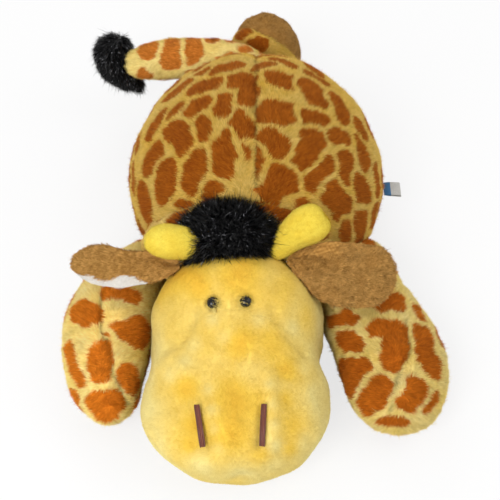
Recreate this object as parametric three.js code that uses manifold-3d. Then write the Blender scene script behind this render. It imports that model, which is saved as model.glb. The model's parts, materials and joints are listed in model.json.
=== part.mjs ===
// A plush giraffe that lies flat on its belly with its chin on the ground.
// Millimetres. The front faces -Y, the animal's own left is +X, and up is +Z.
// The origin is the middle of the flat of its belly, on the ground.

import * as THREE from "three";
import { mergeVertices } from "three/addons/utils/BufferGeometryUtils.js";
import Module from "manifold-3d";

const wasm = await Module();
wasm.setup();

// Driving dimensions

const clearance = 0.3; // between any two pieces that touch
const skin = 3; // plush cloth with its pile
const overrun = 60; // how far a cutting block passes what it cuts
const weld = 1e-4; // points closer than this are one point
const LEFT = 1; // the animal's own left side, towards +X
const RIGHT = -1;

const torso = {
  halfWidth: 106,
  halfLength: 112,
  rise: 98, // from the side seam to the top of the back
  drop: 75, // of the full round below the side seam, before the belly lies flat
  seamHeight: 45,
  seamDip: 3, // the back seam pulls the cloth in
  seamReach: 20,
};

const head = {
  offset: 14, // the head lies towards the animal's right
  halfWidth: 70,
  rise: 75,
  drop: 52,
  spineHeight: 36,
  length: 165,
  tuck: 22, // how far its back reaches past the front of the torso
  nodDegrees: 18,
  pivotHeight: 106,
  pivotTuck: 20, // from the front of the torso to the nod axis
};

const muzzle = {
  halfWidth: 86, // of the arched seam, at the height of its ends
  reach: 95, // from the tip of the muzzle back to the top of the arch
  seat: 15, // from the tip of the muzzle to the arch's centre
  chinHeight: 16, // of the seam between the muzzle and the chin
};

const neck = { halfWidth: 72, halfLength: 44, rise: 47, drop: 42, spineHeight: 62, reach: 31 };

const eye = {
  spacing: 22,
  setBack: 97, // from the tip of the muzzle
  offset: 4, // of the pair, from the middle of the head
  radius: 4,
  dome: 3,
  shankRadius: 1.3,
  shankLength: 9,
  washerRadius: 6,
  washerThickness: 1.2,
  washerDrop: 1.6, // below the cloth, whose inside is curved
  washerPlay: 0.15,
};

const nostril = { frontSetBack: 9, backSetBack: 34, halfWidth: 2.2, rise: 1.4 };

// each nostril's bar leans its own way: how far its back and front ends lie from the middle of the head
const nostrils = {
  [RIGHT]: { backOut: 25, frontOut: 18.5 },
  [LEFT]: { backOut: 18.5, frontOut: 17.5 },
};

const foreleg = {
  pivotY: -62,
  pivotSink: 10, // of the swing axis, in from the side of the torso
  shoulderSink: 12, // of the root of its form, in from the side and back from the swing axis
  rise: 28,
  drop: 36,
  spineHeight: 28,
  swingDegrees: 15,
};

// each foreleg lies its own way: side steps from the shoulder, forward reach and width
const forelegs = {
  [RIGHT]: { elbowOut: 22, pawOut: 32, tipOut: 23, reach: 165, halfWidth: 35, bluntness: 2.2 },
  [LEFT]: { elbowOut: 4, pawOut: 22, tipOut: 21, reach: 170, halfWidth: 42, bluntness: 3.2 },
};

const hindleg = { halfWidth: 28, rise: 27, drop: 34, spineHeight: 28, sink: 34, swingDegrees: 10 };

// the seam between a foot's instep and its sole: the way it faces, and how far it lies forward
const soleSeam = { facing: [0.45, 0.75, 0.48], forwardShare: 1 / 6 };

// each hind foot: how far out from the middle it lies, how far back, and its own half sizes
const hindfeet = {
  [LEFT]: { out: 9, back: 51, halfWidth: 35, halfLength: 37, rise: 42, drop: 48, spineHeight: 40 },
  [RIGHT]: { out: 58, back: 5, halfWidth: 35, halfLength: 31, rise: 26, drop: 32, spineHeight: 24 },
};

const tail = {
  rootOut: 18, // its root lies towards the animal's left of the back seam
  rootSink: 12,
  rootHeight: 71,
  bendOut: 15,
  bendBack: 7,
  middleOut: 60,
  middleBack: 12,
  middleSag: 2,
  endOut: 119,
  endBack: 11,
  endSag: 10,
  radius: 21,
  pivotOut: 12,
  pivotHeight: 72,
  liftDegrees: 35,
};

const tailTuft = {
  halfWidth: 21,
  halfDepth: 21,
  topRise: 27,
  topBack: 18,
  bottomDrop: 33,
  bottomIn: 20,
  bottomForward: 9,
  wrap: 8, // how far it reaches over the end of the tail
};

const ear = {
  rootSink: 34, // in from the side of the head, over its brow
  setBack: 135, // from the tip of the muzzle
  rootHeight: 87,
  thickness: 10,
  lining: 3,
  flopDegrees: 22,
};

// each ear lies its own way: its reach, the drop and slide of its tip, its width and its roll
const ears = {
  [RIGHT]: { reach: 88, tipDrop: 21, tipBack: 16, halfWidth: 18, rollDegrees: 28, middleRise: -3 },
  [LEFT]: { reach: 82, tipDrop: 21, tipBack: 4, halfWidth: 29, rollDegrees: 27, middleRise: 0 },
};

const horn = { radius: 15, baseSink: 8, setBack: 141, spread: 22, bendDegrees: 8 };

// each horn leans its own way from its base
const horns = {
  [RIGHT]: { reach: 22, forward: 4, climb: 13 },
  [LEFT]: { reach: 26, forward: -16, climb: 22 },
};

const forelock = { halfWidth: 37, halfDepth: 30, rise: 31, drop: 22, setBack: 152, sink: 0.5 };

const label = { width: 14, length: 13, thickness: 1, forward: 12, flapDegrees: 25 };

// Shares of the sizes above, in stations from the root of each form to its tip

const torsoSideShares = [1, 1, 0.995, 0.96, 0.94];
const headSideShares = [0.97, 0.98, 0.975, 0.93, 0.875, 0.965, 1, 1, 0.93];
const headRiseShares = [1, 1, 0.97, 0.83, 0.69, 0.56, 0.5, 0.5, 0.5];
const legShares = [0.72, 0.9, 1, 0.98];
const tailShares = [0.55, 0.72, 0.86, 0.96, 1];
const tuftShares = [0.8, 1, 0.95, 0.6];
const earShares = [0.55, 0.9, 1, 0.92];
const hornShares = [0.62, 0.72, 0.95, 1];
const evenShares = [1, 1];
const motionShares = [0, 1 / 6, 1 / 3, 2 / 3, 1];
const domeAngles = [0, 18, 36, 54, 72].map((degrees) => THREE.MathUtils.degToRad(degrees));

// Helpers

const radians = THREE.MathUtils.degToRad;
const at = (x, y, z) => new THREE.Vector3(x, y, z);
const frontY = -torso.halfLength;
const backY = torso.halfLength;
const noseY = frontY + head.tuck - head.length;

/** A closed geometry as a solid that can be joined and cut. */
function solidOf(geometry) {
  const bare = geometry.clone();
  bare.deleteAttribute("normal");
  bare.deleteAttribute("uv");
  const merged = mergeVertices(bare, weld);
  return new wasm.Manifold(
    new wasm.Mesh({
      numProp: 3,
      vertProperties: new Float32Array(merged.getAttribute("position").array),
      triVerts: new Uint32Array(merged.index.array),
    }),
  );
}

/** A named mesh of a solid. */
function meshOf(name, solid, material) {
  const { vertProperties, triVerts } = solid.getMesh();
  const geometry = new THREE.BufferGeometry();
  geometry.setAttribute("position", new THREE.BufferAttribute(vertProperties, 3));
  geometry.setIndex(new THREE.BufferAttribute(triVerts, 1));
  geometry.computeVertexNormals();
  const mesh = new THREE.Mesh(geometry, material);
  mesh.name = name;
  return mesh;
}

/** The solid block between two corners. */
function block(low, high) {
  const size = high.clone().sub(low);
  const box = new THREE.BoxGeometry(size.x, size.y, size.z);
  box.translate(...low.clone().add(high).multiplyScalar(0.5).toArray());
  return solidOf(box);
}

/** Values along a form, read smoothly from evenly spaced shares of one size. */
function sizeAlong(size, shares) {
  const curve = new THREE.CatmullRomCurve3(shares.map((share) => at(size * share, 0, 0)));
  return (t) => curve.getPoint(t).x;
}

/**
 * A stuffed form: a round skin stretched along a spine from its root to its tip. Its half
 * width, rise and drop follow their own shares, and its ends close as blunt as asked.
 */
function stuffed(form, inset = 0) {
  const { spine, around, along, bluntness = 2, roll = 0, seam = null } = form;
  const path = new THREE.CatmullRomCurve3(spine);
  const side = sizeAlong(form.side, form.sideShares ?? evenShares);
  const rise = sizeAlong(form.rise, form.riseShares ?? form.sideShares ?? evenShares);
  const drop = sizeAlong(form.drop, form.dropShares ?? form.sideShares ?? evenShares);
  const geometry = new THREE.SphereGeometry(1, around, along);
  const position = geometry.getAttribute("position");
  const unit = new THREE.Vector3();
  for (let i = 0; i < position.count; i += 1) {
    unit.fromBufferAttribute(position, i);
    const t = THREE.MathUtils.clamp((unit.y + 1) / 2, 0, 1);
    const forward = path.getTangent(t);
    const right = forward.clone().cross(at(0, 0, 1)).normalize();
    const up = right.clone().cross(forward).normalize();
    right.applyAxisAngle(forward, roll);
    up.applyAxisAngle(forward, roll);
    const radial = Math.hypot(unit.x, unit.z);
    const closing = (1 - Math.abs(unit.y) ** bluntness) ** (1 / bluntness);
    const swell = radial < weld ? 0 : Math.max(closing, 0) / radial;
    const across = unit.x * swell;
    const above = unit.z * swell;
    const halfHeight = (above > 0 ? rise(t) : drop(t)) - inset;
    const sideways = across * (side(t) - inset);
    const dip = seam && above > 0 ? seam.dip * Math.max(0, 1 - Math.abs(sideways) / seam.reach) : 0;
    const point = path
      .getPoint(t)
      .addScaledVector(forward, -inset * unit.y)
      .addScaledVector(right, sideways)
      .addScaledVector(up, above * (halfHeight - dip));
    position.setXYZ(i, point.x, point.y, point.z);
  }
  return geometry;
}

/** A copy of a geometry, turned about an axis through a pivot. */
function turned(geometry, pivot, axis, degrees) {
  const turn = new THREE.Matrix4()
    .makeTranslation(pivot)
    .multiply(new THREE.Matrix4().makeRotationAxis(axis, radians(degrees)))
    .multiply(new THREE.Matrix4().makeTranslation(pivot.clone().negate()));
  return geometry.clone().applyMatrix4(turn);
}

/** Cuts a moving solid by what stays still, at every step of its turn, so that it never meets it. */
function clearOf(solid, geometry, { pivot, axis, degrees }) {
  return degrees.reduce(
    (left, angle) => left.subtract(solidOf(turned(geometry, pivot, axis, -angle))),
    solid,
  );
}

/** Cuts a still solid by what moves past it, at every step of its turn. */
function clearOfMoving(solid, geometry, { pivot, axis, degrees }) {
  return degrees.reduce(
    (left, angle) => left.subtract(solidOf(turned(geometry, pivot, axis, angle))),
    solid,
  );
}

/** Cuts off what lies below a level. */
function flatAt(level, solid) {
  const reach = overrun + torso.halfLength + head.length + foreleg.drop;
  return solid.subtract(block(at(-reach, -reach, level - reach), at(reach, reach, level)));
}

/** Half the width of the torso at its side seam, a given way along it. */
const torsoSideAt = (y) => torso.halfWidth * Math.sqrt(1 - (y / torso.halfLength) ** 2);

const yellowPlush = new THREE.MeshStandardMaterial({ color: 0xf0cd5a, roughness: 0.95 });
const printedPlush = new THREE.MeshStandardMaterial({ color: 0xb86a20, roughness: 0.95 });
const tanPlush = new THREE.MeshStandardMaterial({ color: 0xb08242, roughness: 0.95 });
const hornVelour = new THREE.MeshStandardMaterial({ color: 0xfae150, roughness: 0.9 });
const blackPile = new THREE.MeshStandardMaterial({ color: 0x121216, roughness: 0.7 });
const whiteLining = new THREE.MeshStandardMaterial({ color: 0xebe6e1, roughness: 0.95 });
const brownThread = new THREE.MeshStandardMaterial({ color: 0x78463c, roughness: 0.6 });
const blackPlastic = new THREE.MeshStandardMaterial({ color: 0x101013, roughness: 0.15 });
const whitePlastic = new THREE.MeshStandardMaterial({ color: 0xe8e8e4, roughness: 0.5 });
const fibrefill = new THREE.MeshStandardMaterial({ color: 0xf4f3ee, roughness: 1 });
const tape = new THREE.MeshStandardMaterial({ color: 0xd9d7d2, roughness: 0.8 });

// The forms, before they are cut by one another

const torsoForm = {
  spine: [at(0, frontY, torso.seamHeight), at(0, backY, torso.seamHeight)],
  side: torso.halfWidth,
  sideShares: torsoSideShares,
  rise: torso.rise,
  riseShares: evenShares,
  drop: torso.drop,
  dropShares: evenShares,
  seam: { dip: torso.seamDip, reach: torso.seamReach },
  around: 24,
  along: 16,
};

const headForm = {
  spine: [
    at(-head.offset, frontY + head.tuck, head.spineHeight),
    at(-head.offset, noseY, head.spineHeight),
  ],
  side: head.halfWidth,
  sideShares: headSideShares,
  rise: head.rise,
  riseShares: headRiseShares,
  drop: head.drop,
  dropShares: evenShares,
  bluntness: 2.7,
  around: 22,
  along: 14,
};

const neckForm = {
  spine: [
    at(-head.offset, frontY + neck.reach + neck.halfLength, neck.spineHeight),
    at(-head.offset, frontY + neck.reach - neck.halfLength, neck.spineHeight),
  ],
  side: neck.halfWidth,
  rise: neck.rise,
  drop: neck.drop,
  bluntness: 2.3,
  around: 20,
  along: 10,
};

const nod = {
  pivot: at(-head.offset, frontY + head.pivotTuck, head.pivotHeight),
  axis: at(-1, 0, 0),
  degrees: motionShares.map((share) => share * head.nodDegrees),
};

/** The torso's printed skin in three panels, over its stuffing. */
function makeTorso() {
  const outer = flatAt(0, solidOf(stuffed(torsoForm)));
  const shell = outer.subtract(flatAt(skin, solidOf(stuffed(torsoForm, skin))));
  const reach = at(torso.halfWidth, torso.halfLength, torso.seamHeight + torso.rise).addScalar(overrun);
  const half = clearance / 2;
  const under = block(at(-reach.x, -reach.y, -reach.z), at(reach.x, reach.y, torso.seamHeight + half));
  const over = block(at(-reach.x, -reach.y, torso.seamHeight - half), reach);
  const rightSide = block(at(-reach.x, -reach.y, -reach.z), at(half, reach.y, reach.z));
  const leftSide = block(at(-half, -reach.y, -reach.z), reach);
  const stuffing = flatAt(skin + clearance, solidOf(stuffed(torsoForm, skin + clearance)));
  return [
    meshOf("back_panel_left", shell.subtract(under).subtract(rightSide), printedPlush),
    meshOf("back_panel_right", shell.subtract(under).subtract(leftSide), printedPlush),
    meshOf("belly_panel", shell.subtract(over), printedPlush),
    meshOf("torso_stuffing", stuffing, fibrefill),
  ];
}

/** The upright prism over the muzzle's arched seam, grown by a gap. */
function muzzleArch(gap) {
  const across = muzzle.halfWidth + gap;
  const deep = muzzle.reach - muzzle.seat + gap;
  const outline = new THREE.Shape();
  outline.moveTo(-across, -overrun - muzzle.seat);
  outline.lineTo(across, -overrun - muzzle.seat);
  outline.lineTo(across, 0);
  outline.absellipse(0, 0, across, deep, 0, Math.PI, false);
  outline.closePath();
  const tall = head.spineHeight + head.rise + overrun;
  const prism = new THREE.ExtrudeGeometry(outline, { depth: tall, bevelEnabled: false, curveSegments: 12 });
  prism.translate(-head.offset, noseY + muzzle.seat, 0);
  return solidOf(prism);
}

/** The head's skin in muzzle, forehead and chin panels over its stuffing, and what is fixed in its face. */
function makeHead() {
  const torsoAround = stuffed(torsoForm, -clearance);
  const outer = clearOf(flatAt(0, solidOf(stuffed(headForm))), torsoAround, nod);
  const coreOf = (inset) =>
    clearOf(flatAt(inset, solidOf(stuffed(headForm, inset))), stuffed(torsoForm, -clearance - inset), nod);
  const shell = outer.subtract(coreOf(skin));
  const reach = at(head.length, head.length, 0).addScalar(overrun);
  const chinTop = muzzle.chinHeight;
  const low = at(-reach.x, noseY - reach.y, -reach.x);
  const high = at(reach.x, reach.y, reach.x + head.rise);
  const underChin = block(low, at(high.x, high.y, chinTop + clearance / 2));
  const overChin = block(at(low.x, low.y, chinTop - clearance / 2), high);

  const fixtures = eyeFixtures(outer);
  const bored = (solid) => fixtures.reduce((left, { bore }) => left.subtract(bore), solid);
  const face = bored(shell.subtract(underChin));
  const stuffing = fixtures.reduce((left, { seat }) => left.subtract(seat), bored(coreOf(skin + clearance)));
  return [
    meshOf("muzzle_panel", face.subtract(solidOutsideArch()), yellowPlush),
    meshOf("forehead_panel", face.subtract(muzzleArch(clearance / 2)), yellowPlush),
    meshOf("chin_panel", shell.subtract(overChin), yellowPlush),
    meshOf("head_stuffing", stuffing, fibrefill),
    ...fixtures.flatMap(({ meshes }) => meshes),
    ...nostrilStitching(outer),
  ];
}

/** All the space about the head that isn't inside the muzzle's arched seam. */
function solidOutsideArch() {
  const wide = head.length + overrun;
  const tall = head.spineHeight + head.rise + overrun / 2;
  const all = block(at(-wide, noseY - overrun / 2, clearance), at(wide, overrun, tall));
  return all.subtract(muzzleArch(-clearance / 2));
}

/** Where a vertical line meets the top of a solid, and the way the surface faces there. */
function topOf(solid, x, y) {
  const mesh = meshOf("", solid, new THREE.MeshBasicMaterial({ side: THREE.DoubleSide }));
  const above = torso.seamHeight + torso.rise + overrun;
  const ray = new THREE.Raycaster(at(x, y, above), at(0, 0, -1));
  const [hit] = ray.intersectObject(mesh);
  return { point: hit.point, normal: hit.face.normal.clone() };
}

/** The safety eyes: a glossy dome on a shank, locked from inside by a washer. */
function eyeFixtures(outer) {
  return [LEFT, RIGHT].map((side) => {
    const name = side === LEFT ? "left" : "right";
    const x = -head.offset - eye.offset + (side * eye.spacing) / 2;
    const { point, normal } = topOf(outer, x, noseY + eye.setBack);
    const aim = new THREE.Matrix4().compose(
      point.clone().addScaledVector(normal, clearance),
      new THREE.Quaternion().setFromUnitVectors(at(0, 1, 0), normal),
      at(1, 1, 1),
    );
    const turnedOn = (points, segments) => new THREE.LatheGeometry(points, segments).applyMatrix4(aim);
    const deep = -eye.shankLength;
    const washerTop = -skin - eye.washerDrop;
    const washerEnd = washerTop - eye.washerThickness;
    const domePoints = domeAngles.map(
      (angle) => new THREE.Vector2(eye.radius * Math.cos(angle), eye.dome * Math.sin(angle)),
    );
    const button = [
      new THREE.Vector2(0, deep),
      new THREE.Vector2(eye.shankRadius, deep),
      new THREE.Vector2(eye.shankRadius, 0),
      ...domePoints,
      new THREE.Vector2(0, eye.dome),
    ];
    const inner = eye.shankRadius + eye.washerPlay;
    const ring = [
      new THREE.Vector2(inner, washerEnd),
      new THREE.Vector2(eye.washerRadius, washerEnd),
      new THREE.Vector2(eye.washerRadius, washerTop),
      new THREE.Vector2(inner, washerTop),
      new THREE.Vector2(inner, washerEnd),
    ];
    const plug = (radius, low, high) => [
      new THREE.Vector2(0, low),
      new THREE.Vector2(radius, low),
      new THREE.Vector2(radius, high),
      new THREE.Vector2(0, high),
    ];
    const boreRadius = eye.shankRadius + clearance;
    const seatRadius = eye.washerRadius + clearance;
    return {
      bore: solidOf(turnedOn(plug(boreRadius, deep - clearance, eye.dome), 10)),
      seat: solidOf(turnedOn(plug(seatRadius, washerEnd - clearance, eye.dome), 14)),
      meshes: [
        meshOf(`eye_${name}`, solidOf(turnedOn(button, 14)), blackPlastic),
        meshOf(`eye_washer_${name}`, solidOf(turnedOn(ring, 14)), whitePlastic),
      ],
    };
  });
}

/** The two bars of satin stitch that draw the nostrils. */
function nostrilStitching(outer) {
  const around = solidOf(stuffed(headForm, -clearance));
  return [LEFT, RIGHT].map((side) => {
    const name = side === LEFT ? "left" : "right";
    const { backOut, frontOut } = nostrils[side];
    const spine = [0, 0.5, 1].map((share) => {
      const setBack = THREE.MathUtils.lerp(nostril.backSetBack, nostril.frontSetBack, share);
      const out = THREE.MathUtils.lerp(backOut, frontOut, share);
      return topOf(outer, -head.offset + side * out, noseY + setBack).point;
    });
    const bar = stuffed({
      spine,
      side: nostril.halfWidth,
      rise: nostril.rise,
      drop: nostril.rise,
      bluntness: 4,
      around: 8,
      along: 6,
    });
    return meshOf(`nostril_stitching_${name}`, solidOf(bar).subtract(around), brownThread);
  });
}

/** The short printed neck, cut away where the torso and the nodding head are. */
function makeNeck() {
  const free = solidOf(stuffed(neckForm)).subtract(solidOf(stuffed(torsoForm, -clearance)));
  return [meshOf("neck", clearOfMoving(free, stuffed(headForm, -clearance), nod), printedPlush)];
}

/** One foreleg: its form lies forward from the shoulder, beside the head. */
function forelegForm(side) {
  const { elbowOut, pawOut, tipOut, reach, halfWidth, bluntness } = forelegs[side];
  const shoulderX = torsoSideAt(foreleg.pivotY) - foreleg.shoulderSink;
  const step = reach / 3;
  const rootY = foreleg.pivotY + foreleg.shoulderSink;
  const station = (out, forward) => at(side * (shoulderX + out), rootY - forward, foreleg.spineHeight);
  return {
    spine: [station(0, 0), station(elbowOut, step), station(pawOut, 2 * step), station(tipOut, reach)],
    side: halfWidth,
    sideShares: legShares,
    rise: foreleg.rise,
    riseShares: evenShares,
    drop: foreleg.drop,
    dropShares: evenShares,
    bluntness,
    around: 18,
    along: 12,
  };
}

/** How a foreleg swings out from the head, about an upright axis in its shoulder. */
function forelegSwing(side) {
  return {
    pivot: at(side * (torsoSideAt(foreleg.pivotY) - foreleg.pivotSink), foreleg.pivotY, 0),
    axis: at(0, 0, side),
    degrees: [0, foreleg.swingDegrees],
  };
}

/** The space that a foreleg passes through where it swings, a clearance wider. */
function forelegSweep(side) {
  const { pivot, axis, degrees } = forelegSwing(side);
  const grown = stuffed(forelegForm(side), -clearance);
  return degrees.map((angle) => solidOf(turned(grown, pivot, axis, angle)));
}

function makeForelegs() {
  return [LEFT, RIGHT].map((side) => {
    const swing = forelegSwing(side);
    const whole = flatAt(0, solidOf(stuffed(forelegForm(side))));
    const offTorso = clearOf(whole, stuffed(torsoForm, -clearance), swing);
    const offNeck = clearOf(offTorso, stuffed(neckForm, -clearance), swing);
    const headAround = stuffed(headForm, -clearance);
    const beside = clearOfMoving(clearOf(offNeck, headAround, swing), headAround, nod);
    return meshOf(side === LEFT ? "foreleg_left" : "foreleg_right", beside, printedPlush);
  });
}

/** One hind leg's form, from inside the rump to its foot. */
function hindlegForm(side) {
  const { out, back } = hindfeet[side];
  const rumpY = Math.sqrt(1 - (out / torso.halfWidth) ** 2) * torso.halfLength;
  return {
    spine: [
      at(side * out, rumpY - hindleg.sink, hindleg.spineHeight),
      at(side * out, rumpY + back, hindleg.spineHeight),
    ],
    side: hindleg.halfWidth,
    rise: hindleg.rise,
    drop: hindleg.drop,
    bluntness: 3,
    around: 14,
    along: 8,
  };
}

/** One hind foot's form, standing on its toes behind the rump. */
function hindfootForm(side) {
  const { out, back, halfWidth, halfLength, rise, drop, spineHeight } = hindfeet[side];
  const rumpY = Math.sqrt(1 - (out / torso.halfWidth) ** 2) * torso.halfLength;
  const middle = rumpY + back;
  return {
    spine: [
      at(side * out, middle - halfLength, spineHeight),
      at(side * out, middle + halfLength, spineHeight),
    ],
    side: halfWidth,
    rise,
    drop,
    bluntness: 2.1,
    around: 16,
    along: 10,
  };
}

/** How a hind leg swings out, about an upright axis in the rump. */
function hindlegSwing(side) {
  const { spine } = hindlegForm(side);
  return {
    pivot: at(spine[0].x, spine[0].y, 0),
    axis: at(0, 0, -side),
    degrees: [0, hindleg.swingDegrees],
  };
}

/** The slanted block that parts a foot's printed instep, in front, from its tan sole behind. */
function soleBlock(side, gap) {
  const { out, halfWidth, halfLength, rise } = hindfeet[side];
  const { spine } = hindfootForm(side);
  const middle = spine[0].clone().add(spine[1]).multiplyScalar(0.5);
  const facing = at(...soleSeam.facing).normalize();
  const size = halfWidth + halfLength + rise + out + overrun;
  const box = new THREE.BoxGeometry(size, size, size);
  box.translate(0, size / 2, 0);
  box.applyQuaternion(new THREE.Quaternion().setFromUnitVectors(at(0, 1, 0), facing));
  const seat = middle.addScaledVector(facing, gap - halfLength * soleSeam.forwardShare);
  box.translate(seat.x, seat.y, seat.z);
  return solidOf(box);
}

function makeHindlegs() {
  return [LEFT, RIGHT].flatMap((side) => {
    const name = side === LEFT ? "left" : "right";
    const swing = hindlegSwing(side);
    const torsoAround = stuffed(torsoForm, -clearance);
    const ball = clearOf(flatAt(0, solidOf(stuffed(hindfootForm(side)))), torsoAround, swing);
    const stem = clearOf(flatAt(0, solidOf(stuffed(hindlegForm(side)))), torsoAround, swing);
    const leg = stem.add(ball).subtract(soleBlock(side, 0));
    const sole = ball.intersect(soleBlock(side, clearance));
    return [meshOf(`hindleg_${name}`, leg, printedPlush), meshOf(`hindfoot_sole_${name}`, sole, tanPlush)];
  });
}

/** The tail's form: it bends round behind the rump and lies towards the animal's right. */
function tailForm() {
  const rootBack = backY - tail.rootSink;
  return {
    spine: [
      at(tail.rootOut, rootBack, tail.rootHeight),
      at(-tail.bendOut, backY + tail.bendBack, tail.rootHeight),
      at(-tail.middleOut, backY + tail.middleBack, tail.rootHeight - tail.middleSag),
      at(-tail.endOut, backY + tail.endBack, tail.rootHeight - tail.endSag),
    ],
    side: tail.radius,
    sideShares: tailShares,
    rise: tail.radius,
    drop: tail.radius,
    bluntness: 3,
    around: 14,
    along: 12,
  };
}

/** How the tail lifts from where it rests, about an axis through its root. */
function tailLift() {
  return {
    pivot: at(tail.pivotOut, backY, tail.pivotHeight),
    axis: at(0, 1, 0),
    degrees: [0, tail.liftDegrees],
  };
}

function makeTail() {
  const lift = tailLift();
  const whole = clearOf(solidOf(stuffed(tailForm())), stuffed(torsoForm, -clearance), lift);
  const obstacles = [LEFT, RIGHT].flatMap((side) => [hindlegForm(side), hindfootForm(side)]);
  const free = obstacles.reduce((left, form) => left.subtract(solidOf(stuffed(form, -clearance))), whole);
  const end = tailForm().spine[3];
  const top = at(end.x, end.y + tailTuft.topBack, end.z + tailTuft.topRise);
  const bottom = at(end.x + tailTuft.bottomIn, end.y - tailTuft.bottomForward, end.z - tailTuft.bottomDrop);
  const middle = at(end.x - tailTuft.wrap, end.y + tailTuft.wrap, end.z);
  const brush = stuffed({
    spine: [top, middle, bottom],
    side: tailTuft.halfWidth,
    sideShares: tuftShares,
    rise: tailTuft.halfDepth,
    drop: tailTuft.halfDepth,
    around: 14,
    along: 8,
  });
  const tuft = solidOf(brush).subtract(solidOf(stuffed(tailForm(), -clearance)));
  return [meshOf("tail", free, printedPlush), meshOf("tail_tuft", tuft, blackPile)];
}

/** One horn's form: a stuffed club that leans out from the top of the head. */
function hornForm(side) {
  const { reach, forward, climb } = horns[side];
  const baseX = -head.offset + side * horn.spread;
  const crown = topOf(solidOf(stuffed(headForm)), baseX, noseY + horn.setBack).point;
  const base = crown.clone().add(at(0, 0, -horn.baseSink));
  const tip = crown.clone().add(at(side * (reach + horn.radius), -forward, climb));
  return {
    spine: [base, base.clone().lerp(tip, 0.5).add(at(0, 0, horn.baseSink / 2)), tip],
    side: horn.radius,
    sideShares: hornShares,
    rise: horn.radius,
    drop: horn.radius,
    bluntness: 2.6,
    around: 14,
    along: 10,
  };
}

/** How a horn bends to and fro, about an upright axis through its base. */
function hornBend(side) {
  const { spine } = hornForm(side);
  return { pivot: spine[0], axis: at(0, 0, 1), degrees: [-horn.bendDegrees, 0, horn.bendDegrees] };
}

/** A horn's form at each step of its bend, a clearance wider. */
function hornBent(side) {
  const { pivot, axis, degrees } = hornBend(side);
  const grown = stuffed(hornForm(side), -clearance);
  return degrees.map((angle) => turned(grown, pivot, axis, angle));
}

/** One ear's form: a soft leaf that reaches out from the side of the head over the foreleg. */
function earForm(side, part) {
  const { reach, tipDrop, tipBack, halfWidth, rollDegrees, middleRise } = ears[side];
  const rootX = -head.offset + side * (head.halfWidth * headSideShares[2] - ear.rootSink);
  const rootY = noseY + ear.setBack;
  const rootZ = ear.rootHeight;
  const half = ear.thickness / 2;
  const seam = half - ear.lining;
  const split = { whole: [half, half], upper: [half, seam - clearance], under: [-seam, half] }[part];
  return {
    spine: [
      at(rootX, rootY, rootZ),
      at(rootX + side * (reach / 2), rootY + tipBack / 2, rootZ - tipDrop / 2 + middleRise),
      at(rootX + side * reach, rootY + tipBack, rootZ - tipDrop),
    ],
    side: halfWidth,
    sideShares: earShares,
    rise: split[0],
    riseShares: evenShares,
    drop: split[1],
    dropShares: evenShares,
    roll: radians(side * rollDegrees),
    bluntness: 2.4,
    around: 16,
    along: 10,
  };
}

/** How an ear flops up, about the line where it is sewn to the side of the head. */
function earFlop(side) {
  const { spine } = earForm(side, "whole");
  return {
    pivot: spine[0],
    axis: at(0, -side, 0),
    degrees: [0, ear.flopDegrees / 2, ear.flopDegrees],
  };
}

/** Each ear is a tan leaf over a white lining, which the folded ear shows along its edge. */
function makeEars() {
  return [LEFT, RIGHT].flatMap((side) => {
    const name = side === LEFT ? "left" : "right";
    const flop = earFlop(side);
    const trimmed = (part) => {
      const offHead = clearOf(solidOf(stuffed(earForm(side, part))), stuffed(headForm, -clearance), flop);
      const neckAround = stuffed(neckForm, -clearance);
      const offNeck = clearOf(clearOf(offHead, neckAround, flop), neckAround, nod);
      const offHorn = hornBent(side).reduce((left, bent) => clearOf(left, bent, flop), offNeck);
      return forelegSweep(side).reduce((left, sweep) => left.subtract(sweep), offHorn);
    };
    const lining = trimmed("under");
    const outer = trimmed("upper");
    return [meshOf(`ear_${name}`, outer, tanPlush), meshOf(`ear_lining_${name}`, lining, whiteLining)];
  });
}

/** The horns, and the forelock of long black pile that covers their bases. */
function makeHornsAndForelock() {
  const outer = solidOf(stuffed(headForm));
  const headAround = stuffed(headForm, -clearance);
  const neckAround = stuffed(neckForm, -clearance);
  const hornMeshes = [LEFT, RIGHT].map((side) => {
    const bend = hornBend(side);
    const offHead = clearOf(solidOf(stuffed(hornForm(side))), headAround, bend);
    const offNeck = clearOf(clearOf(offHead, neckAround, bend), neckAround, nod);
    return meshOf(side === LEFT ? "horn_left" : "horn_right", offNeck, hornVelour);
  });
  const top = topOf(outer, -head.offset, noseY + forelock.setBack).point;
  const level = top.z - forelock.sink;
  const tuft = solidOf(
    stuffed({
      spine: [at(top.x - forelock.halfWidth, top.y, level), at(top.x + forelock.halfWidth, top.y, level)],
      side: forelock.halfDepth,
      rise: forelock.rise,
      drop: forelock.drop,
      around: 16,
      along: 8,
    }),
  );
  const offHead = tuft.subtract(solidOf(headAround));
  const bends = [LEFT, RIGHT].flatMap(hornBent);
  const offHorns = bends.reduce((left, bent) => left.subtract(solidOf(bent)), offHead);
  const offNeck = clearOf(offHorns, neckAround, nod);
  const offTorso = clearOf(offNeck, stuffed(torsoForm, -clearance), nod);
  return [...hornMeshes, meshOf("forelock", offTorso, blackPile)];
}

/** A bare loop of tape sewn into the side seam. */
function makeLabel() {
  const middle = -label.forward;
  const seamX = torsoSideAt(middle);
  const half = label.width / 2;
  const thick = label.thickness / 2;
  const tag = block(
    at(seamX - label.length, middle - half, torso.seamHeight - thick),
    at(seamX + label.length, middle + half, torso.seamHeight + thick),
  );
  const flap = {
    pivot: at(seamX, middle, torso.seamHeight),
    axis: at(0, -1, 0),
    degrees: [-label.flapDegrees, 0, label.flapDegrees],
  };
  return [meshOf("side_label", clearOf(tag, stuffed(torsoForm, -clearance), flap), tape)];
}

const group = new THREE.Group();
group.name = "plush_giraffe";
group.add(
  ...makeTorso(),
  ...makeHead(),
  ...makeNeck(),
  ...makeForelegs(),
  ...makeHindlegs(),
  ...makeTail(),
  ...makeEars(),
  ...makeHornsAndForelock(),
  ...makeLabel(),
);

export default group;
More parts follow.
